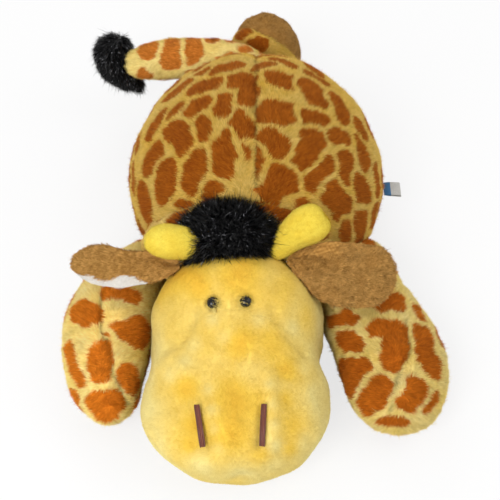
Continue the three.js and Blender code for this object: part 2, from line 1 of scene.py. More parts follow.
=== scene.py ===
"""A plush giraffe that lies flat on its belly, in printed pile, velour and fleece.

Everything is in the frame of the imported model: the animal faces -Y, its own left is +X and up
is +Z. Sizes in the classes are millimetres, and meshes are written in metres.
"""

import json
import logging
import math
from collections.abc import Callable, Sequence
from dataclasses import dataclass, field
from enum import Enum

import bpy
import numpy as np
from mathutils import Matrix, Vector
from mathutils.bvhtree import BVHTree

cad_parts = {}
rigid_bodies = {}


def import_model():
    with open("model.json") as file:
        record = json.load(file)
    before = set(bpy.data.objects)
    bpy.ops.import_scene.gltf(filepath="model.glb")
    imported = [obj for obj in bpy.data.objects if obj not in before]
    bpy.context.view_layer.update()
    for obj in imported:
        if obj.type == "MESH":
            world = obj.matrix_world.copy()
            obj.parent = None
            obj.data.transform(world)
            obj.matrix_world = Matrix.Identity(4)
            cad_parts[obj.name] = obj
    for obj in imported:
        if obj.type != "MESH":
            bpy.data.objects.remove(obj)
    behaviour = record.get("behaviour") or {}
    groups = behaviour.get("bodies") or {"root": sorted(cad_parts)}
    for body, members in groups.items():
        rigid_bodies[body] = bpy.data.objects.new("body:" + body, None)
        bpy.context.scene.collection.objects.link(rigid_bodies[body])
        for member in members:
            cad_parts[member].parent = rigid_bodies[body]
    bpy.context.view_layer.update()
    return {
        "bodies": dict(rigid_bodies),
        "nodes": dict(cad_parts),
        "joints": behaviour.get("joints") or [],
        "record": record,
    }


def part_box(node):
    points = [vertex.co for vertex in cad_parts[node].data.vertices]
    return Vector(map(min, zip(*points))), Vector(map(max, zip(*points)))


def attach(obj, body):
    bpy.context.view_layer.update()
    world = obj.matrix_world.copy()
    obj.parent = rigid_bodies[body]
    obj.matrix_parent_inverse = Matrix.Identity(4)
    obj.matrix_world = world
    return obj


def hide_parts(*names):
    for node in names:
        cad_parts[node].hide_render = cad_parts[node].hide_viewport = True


log = logging.getLogger("plush_giraffe")

MM = 0.001
Array = np.ndarray
Point = tuple[float, float, float]
Colour = tuple[float, float, float]
PointRule = Callable[[Array], Array]
RootRule = Callable[[Array, Array], Array]

# The least heights over the floor, in millimetres
SKIN_FLOOR = 0.5
FIBRE_FLOOR = 0.1
FIBRE_MIDDLE_FLOOR = 0.08
FILLING_FLOOR = 3.4
ROOT_FLOOR = 1.2

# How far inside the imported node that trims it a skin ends, in millimetres
TRIM_INSET = 0.4

# The width in millimetres of the cells that fibres are sorted by
SORTING_CELL = 6

# More cells than any grid of tufts has along one side
GRID_CELLS = 4096
STRAGGLE_SEED = 1


class Side(Enum):
    """The animal's own sides, by the way each lies from its middle."""

    LEFT = 1
    RIGHT = -1

    @property
    def word(self) -> str:
        """The side's name as pieces use it."""
        return self.name.lower()


def linear(red: int, green: int, blue: int) -> Colour:
    """Turns a colour as the eye names it, in steps to 255, into the renderer's linear one.

    Args:
        red: Red, from 0 to 255.
        green: Green, from 0 to 255.
        blue: Blue, from 0 to 255.

    Returns:
        The linear colour.
    """

    def one(step: int) -> float:
        """One channel, by the curve of a common screen."""
        share = step / 255
        return share / 12.92 if share <= 0.04045 else ((share + 0.055) / 1.055) ** 2.4

    return one(red), one(green), one(blue)


def unit(rows: Array) -> Array:
    """Rows of vectors, each made one long."""
    return rows / np.maximum(np.linalg.norm(rows, axis=-1, keepdims=True), 1e-9)


def smooth(low: float, high: float, values: Array) -> Array:
    """A soft step from 0 at low to 1 at high."""
    share = np.clip((values - low) / (high - low), 0, 1)
    return share * share * (3 - 2 * share)


def ripple(points: Array, wavelength: float, seed: int, waves: int = 9) -> Array:
    """Smooth unevenness in space, the same on every run.

    Args:
        points: Rows of points.
        wavelength: About how far apart its swells lie, in the points' unit.
        seed: Picks one such field.
        waves: How many plane waves are summed.

    Returns:
        One value for each point, mostly between -1 and 1.
    """
    rng = np.random.default_rng(seed)
    directions = unit(rng.normal(size=(waves, 3))) * (2 * math.pi / wavelength)
    directions *= rng.uniform(0.6, 1.5, (waves, 1))
    phases = rng.uniform(0, 2 * math.pi, waves)
    return np.sin(points @ directions.T + phases).sum(axis=1) * math.sqrt(2 / waves) * 0.8


def ripples(points: Array, wavelength: float, seed: int) -> Array:
    """Smooth unevenness in each of the three directions, one row for each point."""
    return np.stack([ripple(points, wavelength, seed + k) for k in range(3)], axis=1)


def cell_keys(points: Array, size: float) -> Array:
    """One whole number for each point, the same for all in one cell of a grid."""
    cell = np.floor(points / size).astype(np.int64)
    return (cell[:, 0] * GRID_CELLS + cell[:, 1]) * GRID_CELLS + cell[:, 2]


def off_floor(points: Array, height: float = SKIN_FLOOR) -> None:
    """Lifts points that lie lower than a height over the floor, in place."""
    points[:, 2] = np.maximum(points[:, 2], height)


def underneath(roots: Array, normals: Array, down: float = 0.8) -> Array:
    """Which roots lie on the floor or face it."""
    return (normals[:, 2] < -down) | (roots[:, 2] < ROOT_FLOOR)


def spline(points: Array, shares: Array) -> Array:
    """A smooth curve through points, read at shares of its stations.

    Args:
        points: Rows of points that the curve passes.
        shares: Where to read it, from 0 to 1.

    Returns:
        One row for each share.
    """
    last = len(points) - 1
    scaled = np.clip(shares, 0, 1) * last
    index = np.minimum(scaled.astype(int), last - 1)
    weight = (scaled - index)[:, None]
    padded = np.vstack([2 * points[0] - points[1], points, 2 * points[-1] - points[-2]])
    p0, p1, p2, p3 = (padded[index + step] for step in range(4))

    def gap(a: Array, b: Array) -> Array:
        """The curve's own step between rows of points."""
        return ((a - b) ** 2).sum(axis=1, keepdims=True) ** 0.25

    d1 = gap(p1, p2)
    d1 = np.where(d1 < 1e-4, 1.0, d1)
    d0 = gap(p0, p1)
    d0 = np.where(d0 < 1e-4, d1, d0)
    d2 = gap(p2, p3)
    d2 = np.where(d2 < 1e-4, d1, d2)
    t1 = ((p1 - p0) / d0 - (p2 - p0) / (d0 + d1) + (p2 - p1) / d1) * d1
    t2 = ((p2 - p1) / d1 - (p3 - p1) / (d1 + d2) + (p3 - p2) / d2) * d1
    cubic = 2 * p1 - 2 * p2 + t1 + t2
    square = -3 * p1 + 3 * p2 - 2 * t1 - t2
    return p1 + weight * (t1 + weight * (square + weight * cubic))


@dataclass(frozen=True)
class Form:
    """A stuffed form: a round skin along a spine, with its own width, rise and drop."""

    spine: tuple[Point, ...]
    side: float
    rise: float
    drop: float
    side_shares: tuple[float, ...] = (1, 1)
    rise_shares: tuple[float, ...] | None = None
    drop_shares: tuple[float, ...] | None = None
    bluntness: float = 2.0
    roll: float = 0.0

    def size_along(self, size: float, shares: Sequence[float], t: Array) -> Array:
        """One of its sizes, read along its spine."""
        rows = np.zeros((len(shares), 3))
        rows[:, 0] = np.array(shares) * size
        return spline(rows, t)[:, 0]

    def surface(self, turn: Array, along: Array, inset: float) -> Array:
        """Points of its skin.

        Args:
            turn: Angles round the spine.
            along: Stations from -1 at the root to 1 at the tip.
            inset: How far the points lie inside the form.

        Returns:
            One row for each pair of turn and along.
        """
        spine = np.array(self.spine, float)
        t = (along + 1) / 2
        step = 1e-3
        forward = unit(spline(spine, t + step) - spline(spine, t - step))
        right = unit(np.cross(forward, (0.0, 0.0, 1.0)))
        up = unit(np.cross(right, forward))
        if self.roll:
            angle = math.radians(self.roll)
            right, up = (
                right * math.cos(angle) + np.cross(forward, right) * math.sin(angle),
                up * math.cos(angle) + np.cross(forward, up) * math.sin(angle),
            )
        closing = np.maximum(1 - np.abs(along) ** self.bluntness, 0) ** (1 / self.bluntness)
        across = np.cos(turn) * closing
        above = np.sin(turn) * closing
        side = self.size_along(self.side, self.side_shares, t) - inset
        rise = self.size_along(self.rise, self.rise_shares or self.side_shares, t) - inset
        drop = self.size_along(self.drop, self.drop_shares or self.side_shares, t) - inset
        height = above * np.where(above > 0, rise, drop)
        start = spline(spine, t) - forward * (inset * along)[:, None]
        return start + right * (across * side)[:, None] + up * height[:, None]

    def grid(self, around: int, along: int, inset: float) -> tuple[Array, list[tuple[int, ...]]]:
        """Its closed skin as points and faces.

        Args:
            around: Faces round it.
            along: Faces along it.
            inset: How far the skin lies inside the form.

        Returns:
            The points, and the faces as tuples of point numbers.
        """
        theta = np.linspace(0, math.pi, along + 1)[1:-1]
        power = 1 + (2 / self.bluntness - 1) * 0.5
        stations = -np.sign(np.cos(theta)) * np.abs(np.cos(theta)) ** power
        turns = np.arange(around) * 2 * math.pi / around
        v, u = np.meshgrid(stations, turns, indexing="ij")
        ends = self.surface(np.zeros(2), np.array([-1.0, 1.0]), inset)
        points = np.vstack([self.surface(u.ravel(), v.ravel(), inset), ends])
        root, tip = len(points) - 2, len(points) - 1
        faces: list[tuple[int, ...]] = []
        for row in range(along - 2):
            for k in range(around):
                a, b = row * around + k, row * around + (k + 1) % around
                faces.append((a, a + around, b + around, b))
        top = (along - 2) * around
        for k in range(around):
            follow = (k + 1) % around
            faces.append((root, k, follow))
            faces.append((tip, top + follow, top + k))
        return points, faces


@dataclass(frozen=True)
class Viewpoint:
    """Where the toy is seen from, which also places what was set out in its frame."""

    place: Point = (0.0, -0.512, 0.596)
    aim: Point = (0.0, -0.062, 0.060)
    lens: float = 65.5
    film: float = 36.0
    frame: float = 500.0
    centre: tuple[float, float] = (256.0, 224.0)

    def ray(self, spot: tuple[float, float]) -> tuple[Vector, Vector]:
        """The line of sight through a spot of the frame, as its start and direction."""
        start = Vector(self.place)
        forward = (Vector(self.aim) - start).normalized()
        right = forward.cross(Vector((0, 0, 1))).normalized()
        up = right.cross(forward)
        scale = self.film / self.lens / self.frame
        across = (spot[0] - self.centre[0]) * scale
        above = (self.centre[1] - spot[1]) * scale
        return start, (forward + right * across + up * above).normalized()

    def hit(self, tree: BVHTree, spot: tuple[float, float]) -> tuple[Array, float, float] | None:
        """Where the line of sight through a spot meets a skin.

        Args:
            tree: The skin's faces, in metres.
            spot: The place in the frame, in its pixels.

        Returns:
            The point in millimetres, millimetres per pixel there, and how squarely the skin
            faces the eye, or None where it misses.
        """
        start, direction = self.ray(spot)
        place, normal, _, distance = tree.ray_cast(start, direction)
        if place is None:
            return None
        pixel = distance / MM * self.film / self.lens / self.frame
        return np.array(place) / MM, pixel, abs(normal.dot(direction))

    def camera(self) -> None:
        """Adds the scene's camera."""
        bpy.ops.object.select_all(action="DESELECT")
        aim = (Vector(self.aim) - Vector(self.place)).to_track_quat("-Z", "Y").to_euler()
        bpy.ops.object.camera_add(location=self.place, rotation=aim)
        camera = bpy.context.object
        camera.name = "viewer"
        camera.data.lens = self.lens
        camera.data.sensor_width = self.film
        camera.data.shift_x = (self.frame / 2 - self.centre[0]) / self.frame
        camera.data.shift_y = (self.centre[1] - self.frame / 2) / self.frame
        camera.data.dof.use_dof = False
        camera.data.clip_start = 0.02
        bpy.context.scene.camera = camera


VIEW = Viewpoint()


def mesh_object(name: str, points: Array, faces: Sequence[Sequence[int]]) -> bpy.types.Object:
    """A new smooth object from points in millimetres.

    Args:
        name: The piece's name.
        points: Rows of points.
        faces: Point numbers of each face.

    Returns:
        The object, at the origin.
    """
    mesh = bpy.data.meshes.new(name)
    mesh.from_pydata((points * MM).tolist(), [], faces)
    mesh.shade_smooth()
    piece = bpy.data.objects.new(name, mesh)
    bpy.context.scene.collection.objects.link(piece)
    return piece


def points_of(piece: bpy.types.Object) -> Array:
    """A piece's points, in millimetres."""
    flat = np.empty(len(piece.data.vertices) * 3)
    piece.data.vertices.foreach_get("co", flat)
    return flat.reshape(-1, 3) / MM


def move_points(piece: bpy.types.Object, points: Array) -> None:
    """Writes a piece's points, given in millimetres."""
    piece.data.vertices.foreach_set("co", (points * MM).ravel())
    piece.data.update()


def normals_of(piece: bpy.types.Object) -> Array:
    """A piece's point normals."""
    flat = np.empty(len(piece.data.vertices) * 3)
    piece.data.vertices.foreach_get("normal", flat)
    return flat.reshape(-1, 3)


def values_on(piece: bpy.types.Object, name: str, values: Array) -> None:
    """Writes one value for each point of a piece, under a name its material reads."""
    layer = piece.data.attributes.get(name) or piece.data.attributes.new(name, "FLOAT", "POINT")
    layer.data.foreach_set("value", np.ascontiguousarray(values, np.float32))


def tree_of(*pieces: bpy.types.Object) -> BVHTree:
    """The faces of some pieces, ready to be searched, in metres."""
    points: list[tuple[float, ...]] = []
    faces: list[tuple[int, ...]] = []
    for piece in pieces:
        start = len(points)
        points += [tuple(vertex.co) for vertex in piece.data.vertices]
        faces += [tuple(start + k for k in polygon.vertices) for polygon in piece.data.polygons]
    return BVHTree.FromPolygons(points, faces)


def finish_with(piece: bpy.types.Object, kind: str, **settings: object) -> None:
    """Adds a modifier to a piece and applies it."""
    bpy.ops.object.select_all(action="DESELECT")
    piece.select_set(True)
    bpy.context.view_layer.objects.active = piece
    modifier = piece.modifiers.new(kind.title(), kind)
    for key, value in settings.items():
        setattr(modifier, key, value)
    bpy.ops.object.modifier_apply(modifier=modifier.name)


def refine(skin: bpy.types.Object) -> None:
    """Splits every face of a skin once, smoothly."""
    finish_with(skin, "SUBSURF", levels=1, render_levels=1)


def shade_cloth(piece: bpy.types.Object, tone: Array | float = 0.45, along: float = 0.5) -> None:
    """Gives the cloth under the pile its tone, and its place between root and tip, which sets how
    much of the roots' painted shade it gets.
    """
    count = len(piece.data.vertices)
    values_on(piece, "tone", np.broadcast_to(tone, count))
    values_on(piece, "along", np.full(count, along))


def pressed_out(points: Array, tree: BVHTree, gap: float, low: Array, high: Array) -> Array:
    """Moves the points that lie inside a solid out to its skin.

    Args:
        points: Rows of points in millimetres.
        tree: The solid's faces.
        gap: How far outside it they end.
        low: The lowest corner of the solid's box, in millimetres.
        high: The highest corner of it.

    Returns:
        The points, moved where they lay inside.
    """
    moved = points.copy()
    near = np.all((points > low) & (points < high), axis=1)
    for k in np.nonzero(near)[0]:
        spot = Vector(points[k] * MM)
        place, normal, _, _ = tree.find_nearest(spot)
        if place is not None and (spot - place).dot(normal) < 0:
            moved[k] = (place + normal * gap * MM) / MM
    return moved


def drawn_in(points: Array, tree: BVHTree, slack: float, inset: float) -> Array:
    """Moves the points that lie well outside a solid in to its skin, as where it is cut away.

    Args:
        points: Rows of points in millimetres.
        tree: The solid's faces.
        slack: How far outside a point may stay.
        inset: How far inside the skin the moved points end.

    Returns:
        The points, moved where they lay outside.
    """
    moved = points.copy()
    for k, row in enumerate(points):
        spot = Vector(row * MM)
        place, normal, _, distance = tree.find_nearest(spot)
        if place is not None and distance > slack * MM and (spot - place).dot(normal) > 0:
            moved[k] = (place - normal * inset * MM) / MM
    return moved


class Neighbours:
    """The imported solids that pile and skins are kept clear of."""

    def __init__(self, nodes: dict[str, bpy.types.Object]) -> None:
        """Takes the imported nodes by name."""
        self.nodes = nodes
        self.trees: dict[str, BVHTree] = {}

    def tree(self, name: str) -> BVHTree:
        """One node's faces."""
        if name not in self.trees:
            self.trees[name] = tree_of(self.nodes[name])
        return self.trees[name]

    def press(self, points: Array, names: Sequence[str], gap: float = 0.2) -> Array:
        """Points, moved out of the named nodes where they lie inside one."""
        for name in names:
            low, high = (np.array(corner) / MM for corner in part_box(name))
            points = pressed_out(points, self.tree(name), gap, low, high)
        return points

    def inside(self, points: Array, names: Sequence[str], depth: float = 0.0) -> Array:
        """Which points lie deeper than a depth inside one of the named nodes."""
        found = np.zeros(len(points), bool)
        for name in names:
            low, high = (np.array(corner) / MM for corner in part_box(name))
            near = np.all((points > low) & (points < high), axis=1) & ~found
            for k in np.nonzero(near)[0]:
                spot = Vector(points[k] * MM)
                place, normal, _, _ = self.tree(name).find_nearest(spot)
                if place is not None and (spot - place).dot(normal) < -depth * MM:
                    found[k] = True
        return found


@dataclass(frozen=True)
class Patch:
    """One brown patch of the print: a line drawn in the frame, and its half width."""

    line: tuple[tuple[float, float], ...]
    reach: float


@dataclass
class Print:
    """The giraffe print of one skin: patches parted by paler lines.

    The patches that fill the unseen side are set by shares of the spacing: how far apart they
    stay, how far they lean and half their width.
    """

    patches: tuple[Patch, ...]
    seed: int
    gap: float = 3.6
    spacing: float = 26.0
    growth: float = 1.8
    tries: int = 4000
    apart: float = 0.52
    lean: float = 0.16
    half_width: float = 0.34
    strokes: list[tuple[Array, float]] = field(default_factory=list)

    def lay_out(self, skin: bpy.types.Object) -> None:
        """Places the patches on a skin, and fills what the viewer can't see with more.

        Args:
            skin: The skin that carries the print.
        """
        tree = tree_of(skin)
        for patch in self.patches:
            found = [VIEW.hit(tree, spot) for spot in patch.line]
            seen = [hit for hit in found if hit is not None]
            if not seen:
                continue
            line = np.array([hit[0] for hit in seen])
            pixel = sum(hit[1] for hit in seen) / len(seen)
            facing = sum(hit[2] for hit in seen) / len(seen)
            reach = patch.reach * pixel / math.sqrt(max(facing, 0.3)) + self.growth
            self.strokes.append((line, reach))
        self.fill(skin)

    def fill(self, skin: bpy.types.Object) -> None:
        """Adds patches where the skin is turned from the viewer."""
        points, normals = points_of(skin), normals_of(skin)
        sight = unit(np.array(VIEW.place) / MM - points)
        hidden = points[(normals * sight).sum(axis=1) < 0.1]
        rng = np.random.default_rng(self.seed)
        rng.shuffle(hidden)
        for spot in hidden[:self.tries]:
            near = min(
                (np.linalg.norm(line - spot, axis=1).min() - reach for line, reach in self.strokes),
                default=99.0,
            )
            if near < self.spacing * self.apart:
                continue
            lean = rng.normal(size=3) * self.spacing * self.lean
            reach = self.spacing * self.half_width
            self.strokes.append((np.array([spot - lean, spot + lean]), reach))

    def on(self, points: Array, fuzz: float) -> Array:
        """How far each point lies in a patch.

        Args:
            points: Rows of points in millimetres.
            fuzz: How far the patches' edges straggle.

        Returns:
            From 0 on the pale ground to 1 in a patch.
        """
        rng = np.random.default_rng(STRAGGLE_SEED)
        warp = ripples(points, 17.0, self.seed)
        fine = ripples(points, 6.0, self.seed + 9)
        spots = points + warp * 0.9 + fine * 0.4 + rng.normal(size=points.shape) * fuzz
        nearest = np.full(len(points), 99.0)
        second = np.full(len(points), 99.0)
        for line, reach in self.strokes:
            away = np.full(len(points), 999.0)
            for a, b in zip(line, line[1:] if len(line) > 1 else line):
                span = b - a
                share = np.clip(((spots - a) @ span) / max(span @ span, 1e-6), 0, 1)
                away = np.minimum(away, np.linalg.norm(spots - a - share[:, None] * span, axis=1))
            away -= reach
            second = np.minimum(second, np.maximum(nearest, away))
            nearest = np.minimum(nearest, away)
        depth = np.minimum(-nearest, (second - nearest - self.gap) / 2)
        return smooth(-0.35, 0.35, depth)


@dataclass(frozen=True)
class PileCut:
    """How one kind of pile is cut: its thickness on the cloth and the shape of its fibres."""

    density: float
    length: float
    width: float
    lean: float
    scatter: float = 0.5
    clump: float = 2.6
    pull: float = 0.45
    bend: float = 0.0
    curl: float = 0.0
    segments: int = 1
    spread: float = 0.25
    softness: float = 0.15
    twist: float = 0.25
    jitter: float = 0.05
    mottle: float = 0.12
    stray: float = 0.03
    stray_reach: float = 1.8
    reaches: tuple[float, float] = (0.72, 1.12)
    sunk: float = 0.25
    tuft: float = 1.5


@dataclass
class Pile:
    """Pile grown on a skin: thousands of fibres, each with its own shade."""

    cut: PileCut
    finish: "Finish"
    seed: int

    def roots(self, skin: bpy.types.Object, share: RootRule | None) -> tuple[Array, Array]:
        """Spreads the fibres' roots over a skin.

        Args:
            skin: The skin that carries them.
            share: The share of fibres that stays, from points and normals, or None for all.

        Returns:
            The roots in millimetres and the skin's normals there.
        """
        mesh = skin.data
        mesh.calc_loop_triangles()
        flat = np.empty(len(mesh.loop_triangles) * 3, np.int32)
        mesh.loop_triangles.foreach_get("vertices", flat)
        corners = flat.reshape(-1, 3)
        points, normals = points_of(skin), normals_of(skin)
        a, b, c = (points[corners[:, k]] for k in range(3))
        area = np.linalg.norm(np.cross(b - a, c - a), axis=1) / 2
        rng = np.random.default_rng(self.seed)
        count = int(area.sum() * self.cut.density)
        picks = np.searchsorted(np.cumsum(area), np.sort(rng.uniform(0, area.sum(), count)))
        picks = np.minimum(picks, len(corners) - 1)
        first, other = rng.random(count), rng.random(count)
        over = first + other > 1
        first[over], other[over] = 1 - first[over], 1 - other[over]
        weights = np.stack([1 - first - other, first, other], axis=1)[:, :, None]
        chosen = corners[picks]
        spots = (points[chosen] * weights).sum(axis=1)
        facing = unit((normals[chosen] * weights).sum(axis=1))
        if share is not None:
            keep = rng.random(count) < share(spots, facing)
            spots, facing = spots[keep], facing[keep]
        cell = np.floor(spots / SORTING_CELL).astype(int)
        order = np.lexsort((cell[:, 0], cell[:, 1], cell[:, 2]))
        return spots[order], facing[order]

    def grow(
        self,
        name: str,
        skin: bpy.types.Object,
        comb: RootRule,
        values: dict[str, PointRule],
        share: RootRule | None = None,
        clear: PointRule | None = None,
    ) -> bpy.types.Object:
        """Grows the pile as one piece.

        Args:
            name: The piece's name.
            skin: The skin that carries it.
            comb: The way it lies, from the roots and normals.
            values: What the finish reads at each fibre, worked out from the roots.
            share: The share of fibres that stays.
            clear: Moves tips that would enter a neighbour.

        Returns:
            The pile.
        """
        cut = self.cut
        rng = np.random.default_rng(self.seed + 500)
        roots, normals = self.roots(skin, share)
        count = len(roots)
        flow = comb(roots, normals)
        flow = unit(flow - normals * (flow * normals).sum(axis=1, keepdims=True))
        swirl = rng.normal(0, cut.scatter, count) + ripple(roots, 16, self.seed) * 0.25
        across = np.cross(normals, flow)
        flow = flow * np.cos(swirl)[:, None] + across * np.sin(swirl)[:, None]
        rise = np.radians(cut.lean) + rng.normal(0, cut.spread, count)
        rise += ripple(roots, 9, self.seed + 3) * cut.mottle
        way = flow * np.cos(rise)[:, None] + normals * np.sin(rise)[:, None]
        reach = cut.length * rng.uniform(*cut.reaches, count)
        reach *= np.where(rng.random(count) < cut.stray, cut.stray_reach, 1.0)
        tips = roots + way * reach[:, None]
        tips = self.clumped(roots, tips, rng)
        if clear is not None:
            tips = clear(tips)
            span = np.linalg.norm(tips - roots, axis=1)
            tips = roots + (tips - roots) * np.minimum(1, reach * 1.1 / span)[:, None]
        off_floor(tips, FIBRE_FLOOR)
        roots = roots - normals * cut.sunk
        off_floor(roots, FIBRE_FLOOR)
        twist = rng.normal(size=(count, 3)) * cut.twist
        lane = unit(np.cross(unit(tips - roots), normals + twist))
        stations, widths = self.profile()
        rings: list[Array] = []
        side = lane * (cut.width / 2) * rng.uniform(0.75, 1.25, (count, 1))
        droop = rng.normal(size=(count, 3)) * cut.curl - np.array((0, 0, cut.bend))
        for station, width in zip(stations, widths):
            middle = roots + (tips - roots) * station + droop * (station * (1 - station))
            off_floor(middle, FIBRE_MIDDLE_FLOOR)
            rings += [middle - side * width, middle + side * width] if width else [middle]
        points = np.stack(rings, axis=1)
        lit = normals + unit(tips - roots) * cut.softness
        tufts = ripples(roots, 3.6, self.seed + 40)
        lit = unit(lit + rng.normal(size=(count, 3)) * cut.jitter + tufts * cut.mottle)
        piece = self.woven(name, points, lit)
        per = points.shape[1]
        along = np.repeat(stations, [2] * (len(stations) - 1) + [1])
        values_on(piece, "along", np.tile(along, count))
        tone = 0.5 * rng.random(count) + 0.5 * self.tuft_tones(roots, rng)
        values_on(piece, "tone", np.repeat(tone, per))
        for key, worth in values.items():
            values_on(piece, key, np.repeat(worth(roots), per))
        self.finish.dress(piece)
        return piece

    def tuft_tones(self, roots: Array, rng: np.random.Generator) -> Array:
        """One tone for each small tuft, so that the nap shows."""
        keys = cell_keys(roots + ripples(roots, 7, self.seed + 30), self.cut.tuft)
        names, which = np.unique(keys, return_inverse=True)
        return rng.random(len(names))[which.ravel()]

    def clumped(self, roots: Array, tips: Array, rng: np.random.Generator) -> Array:
        """Draws the tips of neighbouring fibres together, as pile that has been handled."""
        size = self.cut.clump
        if not size:
            return tips
        keys = cell_keys(roots + ripples(roots, 5 * size, self.seed + 20) * size, size)
        _, which, number = np.unique(keys, return_inverse=True, return_counts=True)
        which = which.ravel()
        middle = np.stack([np.bincount(which, tips[:, k]) / number for k in range(3)], axis=1)
        pull = self.cut.pull * rng.uniform(0.3, 1.3, (len(tips), 1))
        return tips + (middle[which] - tips) * pull

    def profile(self) -> tuple[Array, Array]:
        """A fibre's stations from root to tip, and its share of the width at each."""
        stations = np.linspace(0, 1, self.cut.segments + 1)
        widths = (1 - stations) ** 0.6
        widths[-1] = 0
        return stations, widths

    def woven(self, name: str, points: Array, lit: Array) -> bpy.types.Object:
        """Builds the fibres' mesh.

        Args:
            name: The piece's name.
            points: For each fibre its points from root to tip.
            lit: The way each fibre catches the light.

        Returns:
            The new object.
        """
        count, per, _ = points.shape
        pairs = (per - 1) // 2
        corners: list[tuple[int, int, int]] = []
        for k in range(pairs - 1):
            a = 2 * k
            corners += [(a, a + 1, a + 3), (a, a + 3, a + 2)]
        corners.append((2 * pairs - 2, 2 * pairs - 1, 2 * pairs))
        local = np.array(corners)
        index = (np.arange(count)[:, None, None] * per + local[None]).ravel()
        mesh = bpy.data.meshes.new(name)
        mesh.vertices.add(count * per)
        mesh.loops.add(len(index))
        mesh.polygons.add(len(index) // 3)
        mesh.vertices.foreach_set("co", (points * MM).astype(np.float32).ravel())
        mesh.loops.foreach_set("vertex_index", index.astype(np.int32))
        mesh.polygons.foreach_set("loop_start", np.arange(0, len(index), 3, dtype=np.int32))
        mesh.update(calc_edges=True)
        mesh.shade_smooth()
        normal = mesh.attributes.new("custom_normal", "FLOAT_VECTOR", "POINT")
        normal.data.foreach_set("vector", np.repeat(lit, per, axis=0).astype(np.float32).ravel())
        self.unwrap(mesh, index, count, per)
        piece = bpy.data.objects.new(name, mesh)
        bpy.context.scene.collection.objects.link(piece)
        return piece

    def unwrap(self, mesh: bpy.types.Mesh, index: Array, count: int, per: int) -> None:
        """Gives each fibre a cell of its own in the piece's map."""
        side = math.ceil(math.sqrt(count))
        pairs = (per - 1) // 2
        spot = np.zeros((per, 2))
        for k in range(pairs):
            height = 0.1 + 0.8 * k / pairs
            spot[2 * k] = (0.1, height)
            spot[2 * k + 1] = (0.9, height)
        spot[-1] = (0.5, 0.9)
        fibre, place = index // per, index % per
        row, column = fibre // side, fibre % side
        column = np.where(row % 2 == 1, side - 1 - column, column)
        cells = np.stack([column, row], axis=1)
        layer = mesh.uv_layers.new(name="OFBake")
        layer.data.foreach_set("uv", ((cells + spot[place]) / side).astype(np.float32).ravel())


class Knot:
    """A shader socket that Python's operators work on."""

    def __init__(self, tree: bpy.types.NodeTree, socket: bpy.types.NodeSocket) -> None:
        """Wraps a socket of a tree."""
        self.tree = tree
        self.socket = socket

    def math(self, operation: str, other: "Knot | float", swapped: bool = False) -> "Knot":
        """Adds one Math node.

        Args:
            operation: What it works out.
            other: The other value.
            swapped: Whether the other value comes first.

        Returns:
            The result.
        """
        node = self.tree.nodes.new("ShaderNodeMath")
        node.operation = operation
        pair = (other, self) if swapped else (self, other)
        for socket, value in zip(node.inputs, pair):
            if isinstance(value, Knot):
                self.tree.links.new(value.socket, socket)
            else:
                socket.default_value = value
        return Knot(self.tree, node.outputs[0])

    def __add__(self, other: "Knot | float") -> "Knot":
        """The sum."""
        return self.math("ADD", other)

    def __mul__(self, other: "Knot | float") -> "Knot":
        """The product."""
        return self.math("MULTIPLY", other)

    def __sub__(self, other: "Knot | float") -> "Knot":
        """The difference."""
        return self.math("SUBTRACT", other)

    def __rsub__(self, other: "Knot | float") -> "Knot":
        """The difference from another value."""
        return self.math("SUBTRACT", other, swapped=True)

    def capped(self) -> "Knot":
        """The value, kept from 0 to 1."""
        return self.math("MAXIMUM", 0.0).math("MINIMUM", 1.0)


